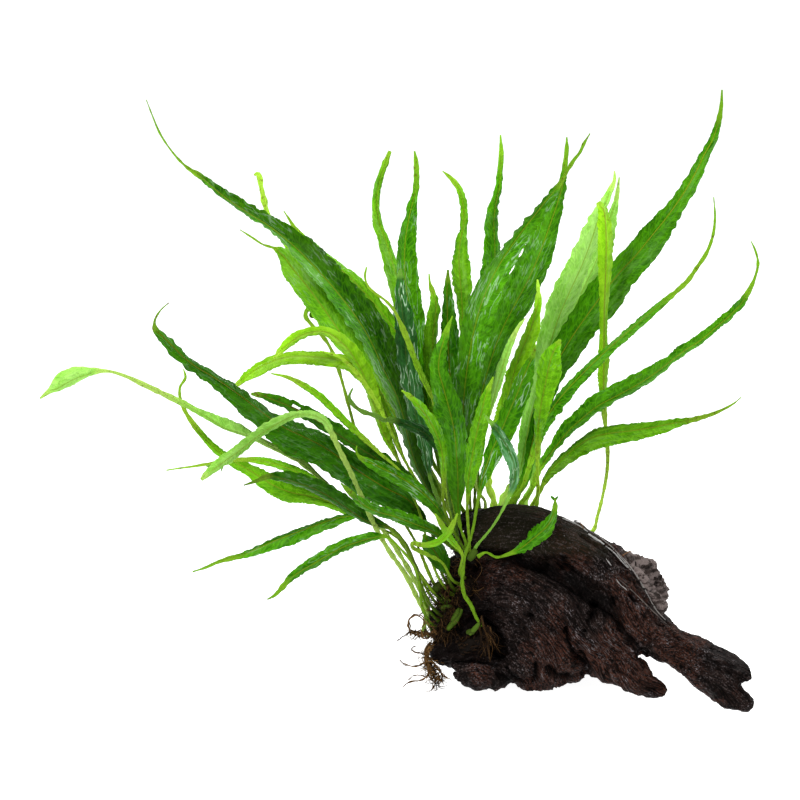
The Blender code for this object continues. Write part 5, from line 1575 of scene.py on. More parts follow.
# The main strands of each bundle (across, up, back, radius), in mm
STRANDS = {
    "roots_left_mass": (
        ((-35.5, 15, -15, 1.4), (-37, 11.5, -16, 1.7), (-36.6, 7.5, -16, 1.6), (-35.2, 3.5, -16, 1.2),
         (-34.6, 0.8, -16, 0.7)),
        ((-37, 10, -16, 0.6), (-39.4, 11, -16.6, 0.5), (-42.6, 12, -17, 0.42), (-43.4, 13.2, -17, 0.38),
         (-41.8, 13.9, -17, 0.3)),
        ((-37, 8, -16, 0.5), (-40.2, 6.3, -16.6, 0.42), (-44, 6, -17, 0.36), (-46.4, 7, -17, 0.32),
         (-48.1, 8.4, -17, 0.22)),
        ((-36, 6, -15.6, 0.6), (-36.6, 2.6, -15.8, 0.5), (-39, 0.6, -16, 0.45), (-42, 0, -16.2, 0.42),
         (-44.6, -0.6, -16.4, 0.38), (-47, -2.6, -16.6, 0.22)),
        ((-37, 1.2, -15, 0.3), (-40, 2.4, -15.4, 0.28), (-43, 2, -15.6, 0.25), (-44.6, 0.2, -15.6, 0.22)),
        ((-36.4, 9.4, -14.6, 0.55), (-33.6, 6, -14.6, 0.6), (-31.4, 3.2, -14.4, 0.5), (-29, 1, -14.4, 0.3)),
        ((-35, 7.4, -15, 0.5), (-32.6, 8.6, -15, 0.45), (-30.4, 7, -14.6, 0.4)),
    ),
    "roots_left_loop": (
        ((-44, 20.3, -19, 0.45), (-44.9, 22.8, -19, 0.5), (-43.6, 25.4, -19.4, 0.5),
         (-41.2, 26.3, -19.6, 0.5),
         (-38.9, 25.2, -19.2, 0.45), (-38.2, 23.2, -18.6, 0.4), (-39.3, 21.6, -18.2, 0.35)),
        ((-43.6, 21.4, -18.2, 0.3), (-44.4, 24, -18, 0.3), (-42.4, 26.6, -18.2, 0.3),
         (-40, 25.8, -18.2, 0.3),
         (-38.6, 24, -18.4, 0.25)),
        ((-34, 18.2, -17, 1.2), (-37.5, 18.4, -18, 1.3), (-41, 19.2, -18.6, 1.2), (-44.4, 19.8, -19, 0.8)),
        ((-44, 19.6, -19, 0.5), (-46.4, 18, -19, 0.35), (-49.2, 16.1, -19, 0.22)),
        ((-40, 26.4, -18, 0.24), (-37.6, 28.4, -18, 0.22), (-35.4, 28.2, -17, 0.2)),
    ),
    "roots_front": (
        ((-15.2, 26, -22, 0.55), (-14.6, 22, -23, 0.5), (-13.4, 17.5, -23, 0.42), (-12.6, 13, -22.6, 0.4),
         (-12.2, 9, -22, 0.25)),
        ((-15.4, 25, -22, 0.6), (-16.2, 21, -22.6, 0.5), (-15.6, 17, -22.6, 0.4), (-14, 12.6, -22.4, 0.3),
         (-13.8, 10, -22, 0.2)),
        ((-14, 22, -23, 0.4), (-11.6, 18.6, -23, 0.3), (-10.8, 15.4, -22.6, 0.2)),
    ),
}


@dataclass(frozen=True)
class Tuft:
    """A patch of fine roots.

    Attributes:
        start: the line they spring from, two points in mm.
        aim: the way they set off.
        count: how many.
        length: shortest and longest, in mm.
        sag: how strongly they turn downward.
        curl: how much they wander.
        radius: of the thickest, in mm.
        pale: how many of them are pale, 0 to 1.
    """

    start: tuple[Point, Point]
    aim: Point
    count: int
    length: tuple[float, float]
    sag: float = 0.2
    curl: float = 0.35
    radius: float = 0.26
    pale: float = 0.1

    def grow(self, skin: Skin, rng: random.Random) -> None:
        """Adds the roots to a skin.

        Args:
            skin: what they join.
            rng: where chance comes from.
        """
        a, b, aim = (np.array(p, float) for p in (*self.start, self.aim))

        def any_way(spread: float) -> np.ndarray:
            """A vector of chance."""
            return np.array([rng.gauss(0, spread) for _ in range(3)])

        for _ in range(self.count):
            spot = a + (b - a) * rng.random() + any_way(0.7)
            way = unit(aim + any_way(0.45))
            bend = any_way(1)
            steps = rng.randint(9, 16)
            step = rng.uniform(*self.length) / steps
            line = [spot]
            for _ in range(steps):
                bend = bend * 0.75 + any_way(1) * 0.5
                way = unit(way + bend * self.curl * 0.3 + np.array([0, 0, -self.sag * 0.3]))
                spot = spot + way * step
                spot[2] = max(spot[2], ROOT_LOWEST)
                line.append(spot.copy())
            radii = self.radius * rng.uniform(0.45, 1.0) * np.linspace(1, 0.35, len(line))
            pale = max(0.0, rng.gauss(self.pale, 0.15 + self.pale))
            skin.tube(np.array(line), radii, bark(pale), 5)


@dataclass(frozen=True)
class Roots:
    """The root bundles and the fine roots on and around them.

    Attributes:
        finish: what they look like.
        seed: the seed of the first bundle.
        hair_seed: the seed of the root hairs.
        rings: how many rings a strand's roots are made of.
        thick: radius from which a strand is a thick one of many roots, in mm.
        paleness: how light the roots of the left bundles may be.
        front_paleness: how light those of the front bundle may be.
        tufts: the fine roots of each bundle.
        hairs: rows of hairs on the left face: where each starts and ends, and how many it has.
    """

    finish: FibreFinish = ROOT_FINISH
    seed: int = 71
    hair_seed: int = 99
    rings: int = 40
    thick: float = 1.15
    paleness: Mask = (0.08, 0.30, 0.5, 0.18)
    front_paleness: Mask = (0.0, 0.0, 0.04, 0.15)
    tufts: dict[str, tuple[Tuft, ...]] = field(default_factory=lambda: {
        "roots_left_mass": (
            Tuft(((-37, -15, 15), (-33.5, -15, 3)), (-0.3, -0.3, -0.2), 110, (3, 7), 0.15, 1.6, 0.24, 0.12),
            Tuft(((-38, -15, 12), (-36, -15, 6)), (-1, -0.1, 0.0), 12, (4, 9), 0.05, 0.9, 0.14, 0.6),
            Tuft(((-36, -15, 9), (-31, -15, 5)), (0.5, -0.2, -0.4), 50, (3, 7), 0.2, 1.4, 0.2, 0.15),
        ),
        "roots_left_loop": (
            Tuft(((-33, -16, 23), (-43, -18, 23)), (-0.6, -0.2, 0.0), 44, (2, 5), 0.1, 1.5, 0.17, 0.15),
            Tuft(((-38, -17, 32), (-34, -16, 24)), (-0.7, -0.3, 0.1), 40, (2, 5), 0.1, 1.3, 0.14, 0.4),
        ),
        "roots_front": (
            Tuft(((-17, -21, 29), (-12, -22, 28)), (0.1, -0.2, -1), 46, (6, 17), 0.5, 0.7, 0.17, 0.06),
            Tuft(((-32, -17, 25), (-20, -22, 24)), (0.0, -0.3, -1), 50, (2, 6), 0.5, 0.8, 0.15, 0.0),
        ),
    })
    hairs: tuple[tuple[Point, Point, int], ...] = (
        ((-34, -16, 23), (-27, -17.4, 38), 130), ((-36, -10, 41), (-24, -13, 52), 130),
        ((-29, -17, 30), (-22, -17, 46), 90), ((-34, -15, 34), (-27, -15, 46), 90),
        ((-37, -8, 30), (-36, -8, 43), 110),
    )

    def build(self) -> None:
        """Makes each bundle: its main strands, twisted of several roots, then its tufts."""
        material = self.finish.build()
        for place, (name, strands) in enumerate(STRANDS.items()):
            rng = random.Random(self.seed + place)
            skin = Skin(name.replace("roots", "root_bundle"), ROOT_SLOT, (name,))
            paleness = self.front_paleness if name == "roots_front" else self.paleness
            for strand in strands:
                self.twist(skin, strand, place, paleness, rng)
            for tuft in self.tufts[name]:
                tuft.grow(skin, rng)
            skin.build(material)
        self.grip(material)

    def twist(self, skin: Skin, strand: tuple[tuple[float, ...], ...], place: int, paleness: Mask,
              rng: random.Random) -> None:
        """Adds a strand that is twisted of several roots.

        Args:
            skin: what it joins.
            strand: points along it (across, up, back, radius), in mm.
            place: the number of its bundle.
            paleness: how light its roots may be.
            rng: where chance comes from.
        """
        shares = np.linspace(0, 1, self.rings)
        fine = smooth_route([VIEW.seen(*p[:3]) for p in strand], self.rings)
        thick = np.interp(shares, np.linspace(0, 1, len(strand)), [p[3] for p in strand])
        many = thick.max() > self.thick
        plies = 11 if many else 3
        for ply in range(plies):
            turn = np.linspace(0, rng.uniform(5, 13), self.rings) + ply * 2 * np.pi / plies
            sway = np.stack([chance(np.array([(step * 0.17, ply * 5.3, axis * 9.1 + place)
                                              for step in range(self.rings)])) for axis in range(3)], axis=1)
            swing = np.stack([np.cos(turn), 0.7 * np.sin(turn), np.sin(turn + 0.6)], axis=1)
            reach = rng.uniform(0.35, 0.8) if many else 0.5
            line = fine + swing * thick[:, None] * reach + sway * (1.4 if many else 0.35)
            line[:, 2] = np.maximum(line[:, 2], 0.5)
            radii = thick * (rng.uniform(0.13, 0.26) if many else rng.uniform(0.3, 0.55))
            skin.tube(line, radii, bark(rng.choice(paleness)))

    def grip(self, material: bpy.types.Material) -> None:
        """Adds short roots along the stems, gripping the wood.

        Args:
            material: their finish.
        """
        rng = random.Random(self.hair_seed)
        skin = Skin("root_hairs", ROOT_SLOT)
        for crown, aim, length, count in ((Crown.LOWER, (0.2, -0.2, -0.6), (3, 10), 60),
                                          (Crown.UPPER, (0.2, 0.3, -1.2), (6, 18), 20)):
            points = RHIZOMES[crown].points
            for a, b in zip(points, points[1:]):
                inward = unit(-np.array((*a[:2], 0.0)))
                toward = tuple(np.array(aim) + 0.25 * inward)
                Tuft((a, b), toward, count, length, 0.4, 0.6, 0.2).grow(skin, rng)
        for start, end, count in self.hairs:
            hair = Tuft((start, end), (-0.2, -0.6, -0.4), count, (2.5, 7), 0.25, 1.2, 0.19, 0.05)
            hair.grow(skin, rng)
        skin.build(material)


# The wood


@dataclass(frozen=True)
class Carving:
    """A hollow pressed into the wood along a line that is seen from the front.

    Attributes:
        line: points (across, up) along it, in mm.
        wide: its half-width, in mm.
        deep: its depth, in mm.
        dark: how dark it is painted inside, as painted shade, 0 to 1.
        flare: its half-width at the start, as a share of that at the end.
    """

    line: tuple[Place, ...]
    wide: float
    deep: float
    dark: float = 0.0
    flare: float = 0.5

    def reach(self, seen: np.ndarray) -> np.ndarray:
        """Finds how strongly the hollow acts.

        Args:
            seen: places on the view plane, in mm.

        Returns:
            Its strength there, 0 to 1.
        """
        nearest = np.full(len(seen), 1e9)
        count = len(self.line) - 1
        for i, (a, b) in enumerate(zip(self.line, self.line[1:])):
            start, run = np.array(a), np.array(b) - np.array(a)
            share = np.clip(((seen - start) @ run) / (run @ run), 0, 1)
            width = self.wide * (self.flare + (1 - self.flare) * (i + share) / count)
            off = np.linalg.norm(seen - start - share[:, None] * run, axis=1)
            nearest = np.minimum(nearest, off / width)
        return np.exp(-(nearest**2))


@dataclass(frozen=True)
class Relief:
    """What the raw wood is like at each of its points.

    Attributes:
        spots: the points, in mm.
        seen: their places on the view plane, in mm.
        drawn: their places in the drawn-out pattern of the grain.
        broad: chance that changes slowly, from -1 to 1.
        fine: chance that changes fast, from -1 to 1.
        crest: up to 1 on the ridges of the grain, less between them.
        furrow: up to 1 on the broad ribs below the dome, less between them.
        pits: 1 in the middle of a pit, 0 away from it.
        dome: 1 on the domed top, 0 elsewhere.
        knob: 1 on the stony knob, 0 elsewhere.
    """

    spots: np.ndarray
    seen: np.ndarray
    drawn: np.ndarray
    broad: np.ndarray
    fine: np.ndarray
    crest: np.ndarray
    furrow: np.ndarray
    pits: np.ndarray
    dome: np.ndarray
    knob: np.ndarray

    @classmethod
    def of(cls, spots: np.ndarray, drawn: np.ndarray) -> Relief:
        """Works out the relief of the raw wood.

        Args:
            spots: its points, in mm.
            drawn: their places in the pattern of the grain.

        Returns:
            The relief.
        """
        seen = VIEW.project(spots)
        dome = ramp(seen[:, 1], 46, 54) * (spots[:, 0] < 36)
        lumps = chance(spots, (0.16, 0.16, 0.09))
        furrow = (1 - 2.4 * np.abs(lumps)) * (1 - dome) * ramp(62 - spots[:, 0], 0, 20)
        beyond = (seen - np.array(KNOB_LINE[0])) @ np.array(KNOB_LINE[1])
        knob = ramp(beyond, 0.2, 1.2) * ramp(seen[:, 1], 25.5, 27.5) * ramp(spots[:, 0], 34, 40)
        broad = np.array([noise.fractal(Vector(p) * 0.085, 0.9, 2.0, 3) for p in spots])
        pits = np.exp(-((nearest_cell(spots, 0.13) / 0.13) ** 2)) * (1 - 0.7 * dome)
        crest = 1 - 2.2 * np.abs(chance(drawn))
        return cls(spots, seen, drawn, broad, chance(spots, 0.9), crest, furrow, pits, dome, knob)

    def push(self) -> np.ndarray:
        """Works out the relief's height before the carvings.

        Returns:
            How far each point is moved outward, in mm.
        """
        push = 0.9 * self.broad + 1.1 * self.furrow + 0.22 * self.fine
        push = push + (0.55 - 0.35 * self.dome) * self.crest - 0.9 * self.pits - 0.35 * (1 - self.dome)
        return push + self.knob * (1.3 * (0.45 - nearest_cell(self.spots, 0.30)) + 0.4 * self.fine)

    def painted_hollow_shade(self) -> np.ndarray:
        """Painted shade: how dark the hollows between ridges and the pits are painted before the carvings, 0
        to 1.
        """
        between = ramp(-self.crest, 0.1, 0.9) * (1 - self.dome) + ramp(-self.furrow, 0.0, 0.9)
        return np.clip(0.8 * self.pits + 0.5 * between, 0, 1)

    def ragged(self) -> np.ndarray:
        """The places on the view plane, shaken, so that carvings get uneven edges."""
        shake = np.stack([self.fine, np.roll(self.fine, 7)], axis=1) * 0.5
        return self.seen + shake + np.stack([self.broad, -self.broad], axis=1) * 1.2

    def paint_on(self, mesh: bpy.types.Mesh, painted_hollow_shade: np.ndarray) -> None:
        """Stores the colour masks and the places in the grain.

        Args:
            mesh: the wood's mesh.
            painted_hollow_shade: how dark each point is painted as shade, 0 to 1.
        """
        across, up = self.seen.T
        # Painted highlight specks, most of them on the ridges and ribs
        pale = 0.2 + 0.5 * ramp(self.crest, 0.2, 0.9) + 0.3 * ramp(self.furrow, 0.2, 0.9)
        # Painted shade on the side of the stump under the leaves
        shadow = ramp(-across, 8, 18) * ramp(up, 6, 12) * (1 - ramp(up, 44, 52))
        # Where painted glints may lie: on the ridges, away from the dome and from the painted shade
        painted_glint_mask = ramp(self.crest + self.fine, 0.0, 0.8) * (1 - self.dome) * (1 - shadow)
        rusty = np.max([streak.reach(self.seen) for streak in RUSTY_STREAKS], axis=0)
        paint(mesh, "dress", np.stack([painted_hollow_shade, pale, self.knob, np.ones_like(painted_hollow_shade)], axis=1))
        paint(mesh, "painted_light_and_marks", np.stack([shadow, painted_glint_mask, self.dome, rusty], axis=1))
        lay = mesh.attributes.new("grain", "FLOAT_VECTOR", "POINT")
        lay.data.foreach_set("vector", self.drawn.astype(np.float32).ravel())


def nearest_cell(spots: np.ndarray, scale: float) -> np.ndarray:
    """How far each point is from the nearest of scattered centres, all times the scale."""
    return np.array([noise.voronoi(Vector(p) * scale)[0][0] for p in spots])


# The line on the view plane beyond which the knob is stony: a point in mm, and the way across it
KNOB_LINE = ((39.5, 52.5), (0.861, 0.509))

# Where the wood is rusty in broad streaks
RUSTY_STREAKS = (
    Carving(((30, 38), (46, 27), (64, 13)), 8.0, 0.0),
    Carving(((22, 16), (34, 9), (48, 3)), 5.0, 0.0),
    Carving(((-2, 44), (10, 36), (20, 26)), 6.0, 0.0),
)


@dataclass(frozen=True)
class Driftwood:
    """The stump: the frame's wood grown together into one skin, grained, pitted and carved.

    Attributes:
        nodes: the frame nodes that it stands for.
        voxels: the sizes of the first, coarse and of the second, fine remesh, in mm.
        rounds: how often each of them is smoothed.
        swell: how far the frame's wood is blown up before it is joined, in mm.
        lumps: balls that fill out the toes and joints (across, up, back, radius), in mm.
        outline: the line on the view plane that the coarse body is trimmed to, in mm.
        reach: how far forward and back the trimming prism goes, in mm.
        carvings: the grooves, cracks and holes.
        splinters: raised pale fibres along the rim, their paleness partly a painted highlight of the rim:
            radius, how pale, and the line on the view plane.
        splinter_back: where a splinter's first point is looked for if no wood is seen there, in mm.
        rim: the line on the view plane that the grain follows, in mm.
        hairs: two fine brown hairs that stand out from the rim, on the view plane, in mm.
    """

    nodes: tuple[str, ...] = ("wood_trunk", "wood_long_arm", "wood_middle_prong", "wood_back_knob")
    voxels: tuple[float, float] = (1.1, 0.7)
    rounds: tuple[int, int] = (4, 2)
    swell: float = 0.8
    reach: tuple[float, float] = (-130.0, 110.0)
    splinter_back: float = 8.0
    lumps: tuple[tuple[float, float, float, float], ...] = (
        (-14, 3, -15, 5), (-19, 1.5, -16, 4), (-9, 2, -14, 5), (-23, 2.5, -14, 3.2), (4, 1.5, -14, 5),
        (12, 2, -13, 5), (20, 3, -11, 4.5), (24, 6, -9, 5), (-30, 12, -12, 5), (-10, 62, 2, 8),
        (-29, 24, -3, 7), (-27, 34, -3, 6), (-23, 45, -4, 5.5),
        (40, 42, 10, 9), (72, 11, -38, 5), (86, 3, -50, 5.5), (90, -7.8, -55, 4.2),
    )
    outline: tuple[Place, ...] = (
        (-46, 22), (-38, 12), (-35.5, 9.5), (-31, 7.2), (-29, 6), (-25.5, 5), (-24.2, 4), (-26.2, 2.8),
        (-26.6, 1),
        (-25, -0.7), (-22, -2), (-18, -2.7), (-16.5, -3.4), (-16, -4.5), (-15, -4.7), (-13.5, -3.7),
        (-11, -3.9),
        (-9.5, -3), (-4, -2.7), (-2.2, -1.7), (-0.5, -2.3), (1, -3.2), (5, -3.2), (12, -2.7), (13.5, -1.6),
        (17, -1.2), (21, -0.8), (23, -0.1), (24.5, 1.2), (26.2, 3.4), (28.5, 2.9), (30.5, 2.2), (32, 1),
        (34, -0.3), (38, -1.7), (41, -2.9), (44, -4.5), (47, -5.4), (52, -6.3), (55.5, -7.3), (56, -6.5),
        (60, -6.5), (59.5, -2.2), (57, -0.8), (54, 1), (52.6, 1.6), (52.2, 3.8), (50.8, 5.8), (48.8, 7.5),
        (46.2, 8.9), (46.2, 9.9), (49, 10.4), (52, 9.9), (56, 8.1), (60, 5.9), (64, 3.3), (68, -0.1),
        (72, -3.6), (76, -6.1), (78, -8.1), (80, -10.1),
        (84, -11.1), (88, -11.7), (91, -12.6), (93.5, -11), (94, -8.5), (91.5, -5), (89.5, -3.5),
        (89, -1.6),
        (90, -0.8), (91.5, -0.5), (92.5, 1), (92, 4), (91, 6.5), (88, 9), (85, 11), (81, 13.5), (78, 15.5),
        (73, 17.5), (68, 18.6), (64, 20.2), (62, 21.7), (60, 23.7), (56.5, 27.2), (59, 28.8), (59.9, 31),
        (59.6, 33.5), (58.5, 35.6), (58.8, 37.5), (57.2, 40.6), (56.8, 42.4), (55.3, 43.6), (54.4, 45.7),
        (55.7, 47.7), (53, 49.3), (50, 50.1), (47, 50.7), (44, 50.6), (41.4, 51.4), (40, 53), (38, 53.2),
        (34, 56.2), (30, 59.5), (26, 61.2), (24, 62.9), (20, 64.2), (15, 66.2), (12, 68), (8, 69.5),
        (4, 70.4),
        (-5, 70.5), (-10, 71.4), (-18, 71.4), (-24, 69), (-34, 58), (-44, 40),
    )
    carvings: tuple[Carving, ...] = (
        Carving(((-10, 50.5), (10, 46), (25, 38), (38, 28)), 4.5, 1.0, 0.85),
        Carving(((29, 57.6), (33, 55.2), (38, 50), (45, 43), (50, 36), (58, 25)), 0.8, 1.0, 0.9),
        Carving(((48, 45.4), (51, 44.6), (53.6, 45)), 0.7, 0.9, 0.8),
        Carving(((52.4, 35), (54.6, 37.4), (55, 39)), 0.9, 1.5, 0.95),
        Carving(((-17.6, 52), (-3.6, 50.4), (6.4, 46.4), (16, 40.4), (24.4, 34),
        (29.2, 30.8)), 2.0, 3.4, 0.95),
        Carving(((3, 49.5), (14.4, 49.6), (22.6, 43.8), (29.2, 39.6), (35.6, 36.4)), 1.3, 1.8, 0.7),
        Carving(((24.2, 58), (34, 51.6), (41, 45.4), (46.6, 38), (52, 30.8), (60, 22.5)), 0.9, 1.1, 0.6),
        Carving(((16, 50.4), (17.5, 49.6)), 1.3, 2.4, 1.0),
        Carving(((3.6, 26), (4.6, 25.2)), 1.4, 2.6, 1.0),
        Carving(((24.6, 20.6), (25.6, 20)), 1.1, 2.2, 1.0),
        Carving(((36.6, 34), (37.8, 31)), 1.7, 3.2, 1.0),
        Carving(((44.6, 33.6), (47, 31.8)), 1.5, 2.6, 1.0),
        Carving(((4, 40.8), (5, 40)), 1.0, 1.6, 0.9),
        Carving(((29, 30.8), (29.4, 27), (27.6, 24.4)), 1.8, 3.4, 1.0),
        Carving(((29.2, 30.8), (37.2, 24.2), (41.2, 19.2), (47.9, 11.2), (51, 8)), 2.2, 3.4, 0.95),
        Carving(((18.4, 20.8), (20.8, 12.8), (24.4, 6.2), (25.6, 2)), 1.5, 3.6, 1.0),
        Carving(((6.6, 7.2), (5.6, 1)), 2.3, 3.0, 0.95, 0.35),
        Carving(((-5.4, 5), (-2.4, 0.6), (0.4, -1)), 1.5, 2.6, 0.95),
        Carving(((-9, 3), (-6, 0.4), (-4, -2)), 2.4, 2.4, 0.95),
        Carving(((11, 5.4), (15, 2), (19, 1.6)), 1.8, 2.2, 0.95, 0.6),
        Carving(((24.6, 11), (26, 7.6), (27, 4)), 1.7, 3.0, 0.95),
        Carving(((-13.6, 22.6), (-11, 18), (-9.4, 12.4)), 3.6, 7.0, 1.0),
        Carving(((-20, 24), (-14, 26)), 2.4, 3.0, 0.9),
        Carving(((-26, 7), (-14, 8), (-9, 6)), 1.5, 2.2, 0.9),
        Carving(((-10, 40), (4, 32), (14, 20)), 1.4, 1.0, 0.4),
        Carving(((-12, 32), (-2, 24), (6, 12)), 1.4, 1.2, 0.5),
        Carving(((8, 42), (20, 34), (27, 27)), 1.2, 1.0, 0.4),
        Carving(((52, 26), (66, 14), (80, 6), (88, 0)), 1.0, 0.8, 0.4),
        Carving(((50, 18), (62, 8), (74, 0), (84, -7)), 1.1, 1.0, 0.5),
        Carving(((34, 7), (44, 1), (54, -4)), 1.0, 1.0, 0.6),
        Carving(((89.4, -2.6), (96, -2.0)), 1.7, 4.0, 0.8, 0.8),
    )
    splinters: tuple[tuple[float, float, tuple[Place, ...]], ...] = (
        (0.32, 0.25, ((14.5, 66.4), (20, 64.8), (24.4, 62.8), (27, 60.8))),
        (0.36, 0.55, ((16.5, 65.2), (21, 63.4), (25, 61.2), (27.4, 59.4))),
        (0.26, 0.25, ((27, 60.4), (31, 58.2), (34.6, 55.4), (38, 52.6))),
        (0.52, 0.70, ((27, 59), (30, 57), (34, 54.4))),
        (0.30, 0.45, ((34, 54.2), (37.6, 51.4), (40.4, 48.2), (43.4, 45))),
        (0.32, 0.22, ((37, 53), (40.6, 49.8), (44, 45.8), (47, 41.6), (50, 36.4), (52, 32.6), (54.5, 28.4),
                      (58.4, 24.2))),
        (0.22, 0.40, ((38.6, 51.4), (41.6, 47.8), (44.6, 44))),
        (0.20, 0.05, ((38, 42), (45, 36), (52, 29), (61, 20.6))),
        (0.24, 0.45, ((34.2, 49.2), (35.4, 47.6), (36.8, 45.8))),
        (0.24, 0.35, ((38.4, 41), (39.6, 39), (42, 37), (43.6, 35.6))),
        (0.20, 0.25, ((17, 58.4), (18.4, 57.8))),
    )
    rim: tuple[Place, ...] = (
        (-46, 66), (-16, 71), (4, 70), (18, 65), (31, 57), (42, 46), (52, 32.5), (64, 21), (79, 13.5),
        (98, -1),
    )
    hairs: tuple[tuple[Place, ...], ...] = (
        ((25.4, 60.8), (24.7, 62.4), (24.2, 63.4), (24.6, 64.6)),
        ((41, 50.2), (42.6, 51.2), (44.2, 51.9), (46, 51.8)),
    )

    def grown_together(self) -> bpy.types.Object:
        """Joins the frame's wood and the lumps, remeshes them and trims them to the outline.

        Returns:
            The raw object.
        """
        bm = bmesh.new()
        for name in self.nodes:
            part = bmesh.new()
            part.from_mesh(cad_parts[name].data)
            bmesh.ops.remove_doubles(part, verts=part.verts, dist=1e-6)
            part.normal_update()
            for vert in part.verts:
                vert.co += vert.normal * self.swell * MM
            mesh = take_mesh("part", part)
            bm.from_mesh(mesh)
            bpy.data.meshes.remove(mesh)
        for across, up, back, radius in self.lumps:
            ball = bmesh.ops.create_icosphere(bm, subdivisions=3, radius=radius * MM)
            bmesh.ops.translate(bm, verts=ball["verts"], vec=VIEW.seen(across, up, back) * MM)
        made = new_object("driftwood", take_mesh("driftwood", bm))
        prism = self.prism()
        for voxel, rounds in zip(self.voxels, self.rounds):
            skin = made.modifiers.new("skin", "REMESH")
            skin.mode = "VOXEL"
            skin.voxel_size = voxel * MM
            ease = made.modifiers.new("ease", "SMOOTH")
            ease.factor = 0.5
            ease.iterations = rounds
            if voxel == self.voxels[0]:
                trim = made.modifiers.new("trim", "BOOLEAN")
                trim.operation = "INTERSECT"
                trim.solver = "EXACT"
                trim.object = prism
        graph = bpy.context.evaluated_depsgraph_get()
        fresh = bpy.data.meshes.new_from_object(made.evaluated_get(graph))
        made.modifiers.clear()
        made.data = fresh
        bpy.data.objects.remove(prism)
        return made

    def prism(self) -> bpy.types.Object:
        """Makes the prism along the line of sight that the raw body is trimmed to.

        Returns:
            The prism.
        """
        bm = bmesh.new()
        near, far = ([bm.verts.new(VIEW.seen(*spot, back) * MM) for spot in self.outline]
                     for back in self.reach)
        bm.faces.new(near)
        bm.faces.new(far[::-1])
        for i in range(len(self.outline)):
            bm.faces.new((near[i], near[i - 1], far[i - 1], far[i]))
        bmesh.ops.triangulate(bm, faces=bm.faces)
        bmesh.ops.recalc_face_normals(bm, faces=bm.faces)
        return new_object("prism", take_mesh("prism", bm))

    def grain(self, spots: np.ndarray) -> np.ndarray:
        """Places in the drawn-out pattern of the grain.

        Args:
            spots: points, in mm.

        Returns:
            Their places, long along the grain and short across it.
        """
        warp = np.array([tuple(noise.noise_vector(Vector(p) * 0.06)) for p in spots]) * 2.6
        seen = VIEW.project(spots) + warp[:, :2]
        rim = np.array(self.rim)
        near, across, along, start = [], [], [], 0.0
        for a, b in zip(rim, rim[1:]):
            run = b - a
            long = float(np.linalg.norm(run))
            way = run / long
            flat = seen - a
            run_on = flat @ way
            side = flat @ np.array([way[1], -way[0]])
            near.append(np.linalg.norm(flat - np.clip(run_on, 0, long)[:, None] * way, axis=1))
            across.append(side)
            along.append(start + run_on)
            start += long
        near = np.array(near)
        weight = np.exp(-(near - near.min(axis=0)) / 7.0)
        weight = weight / weight.sum(axis=0)
        side = (weight * np.array(across)).sum(axis=0)
        far = (weight * np.array(along)).sum(axis=0)
        return np.stack([side / 1.5, far / 16.0, (spots[:, 1] + warp[:, 2]) / 3.0], axis=1)

    def build(self) -> bpy.types.Object:
        """Makes the stump: the raw body is carved, painted and laid with splinters.

        Returns:
            The object.
        """
        made = self.grown_together()
        mesh = made.data
        spots = np.empty(len(mesh.vertices) * 3, dtype=np.float32)
        mesh.vertices.foreach_get("co", spots)
        spots = spots.reshape(-1, 3).astype(float) / MM
        normals = np.array([tuple(v.normal) for v in mesh.vertices])
        relief = Relief.of(spots, self.grain(spots))
        push, painted_hollow_shade, ragged = relief.push(), relief.painted_hollow_shade(), relief.ragged()
        facing = ramp(-normals[:, 1], -0.05, 0.35)
        # Each carving presses a hollow and darkens it as painted shade
        for carving in self.carvings:
            reach = carving.reach(ragged) * facing
            push = push - carving.deep * reach
            painted_hollow_shade = np.maximum(painted_hollow_shade, carving.dark * reach)
        spots = spots + normals * push[:, None]
        spots[:, 2] = np.maximum(spots[:, 2], 0.0)
        mesh.vertices.foreach_set("co", (spots * MM).astype(np.float32).ravel())
        relief.paint_on(mesh, painted_hollow_shade)
        mesh.shade_smooth()
        mesh.materials.clear()
        mesh.materials.append(WoodFinish().build())
        self.splintered(made)
        return settle_piece(made, WOOD_SLOT, self.nodes)

    def splintered(self, made: bpy.types.Object) -> None:
        """Lays the pale splinters of the rim, whose paleness is partly a painted highlight, and two fine
        hairs on the finished wood.

        Args:
            made: the wood.
        """
        tree = BVHTree.FromPolygons([v.co / MM for v in made.data.vertices],
                                    [tuple(p.vertices) for p in made.data.polygons])
        skin = Skin("wood_splinters", WOOD_SLOT)
        for radius, pale, line in self.splinters:
            steps = int(sum(math.dist(a, b) for a, b in zip(line, line[1:])) * 2)
            laid, back = [], self.splinter_back
            for across, up, _ in smooth_route([(*p, 0.0) for p in line], steps).tolist():
                laid.append(self.landing(tree, across, up, back))
                back = laid[-1][1]
            laid = smoothed(np.array(laid), np.ones(5))
            radii = radius * (1 + 0.5 * chance(laid, 0.7))
            taper = np.sin(np.pi * np.linspace(0.04, 0.96, steps)) ** 0.4
            skin.tube(laid, radii * taper, bark(pale), 7)
        for line in self.hairs:
            back = self.landing(tree, *line[0], self.splinter_back)[1]
            fine = smooth_route([VIEW.seen(*p, back) for p in line], 16)
            skin.tube(fine, np.linspace(0.2, 0.1, 16), bark(0.0, 1.0), 5)
        skin.build(SPLINTER_AND_RIM_HIGHLIGHT_FINISH.build())

    @staticmethod
    def landing(tree: BVHTree, across: float, up: float, back: float) -> Point:
        """Where the line of sight through a place on the view plane meets the wood.

        Args:
            tree: the wood's surface.
            across: the place's distance to the right, in mm.
            up: its height on the plane, in mm.
            back: how far back to look where the line passes the wood by, in mm.

        Returns:
            The point met, or else the wood's nearest point.
        """
        way = (VIEW.seen(across, up, 0.0) - VIEW.eye).normalized()
        met = tree.ray_cast(VIEW.eye, way)[0]
        return tuple(met or tree.find_nearest(VIEW.seen(across, up, back))[0])


# The studio


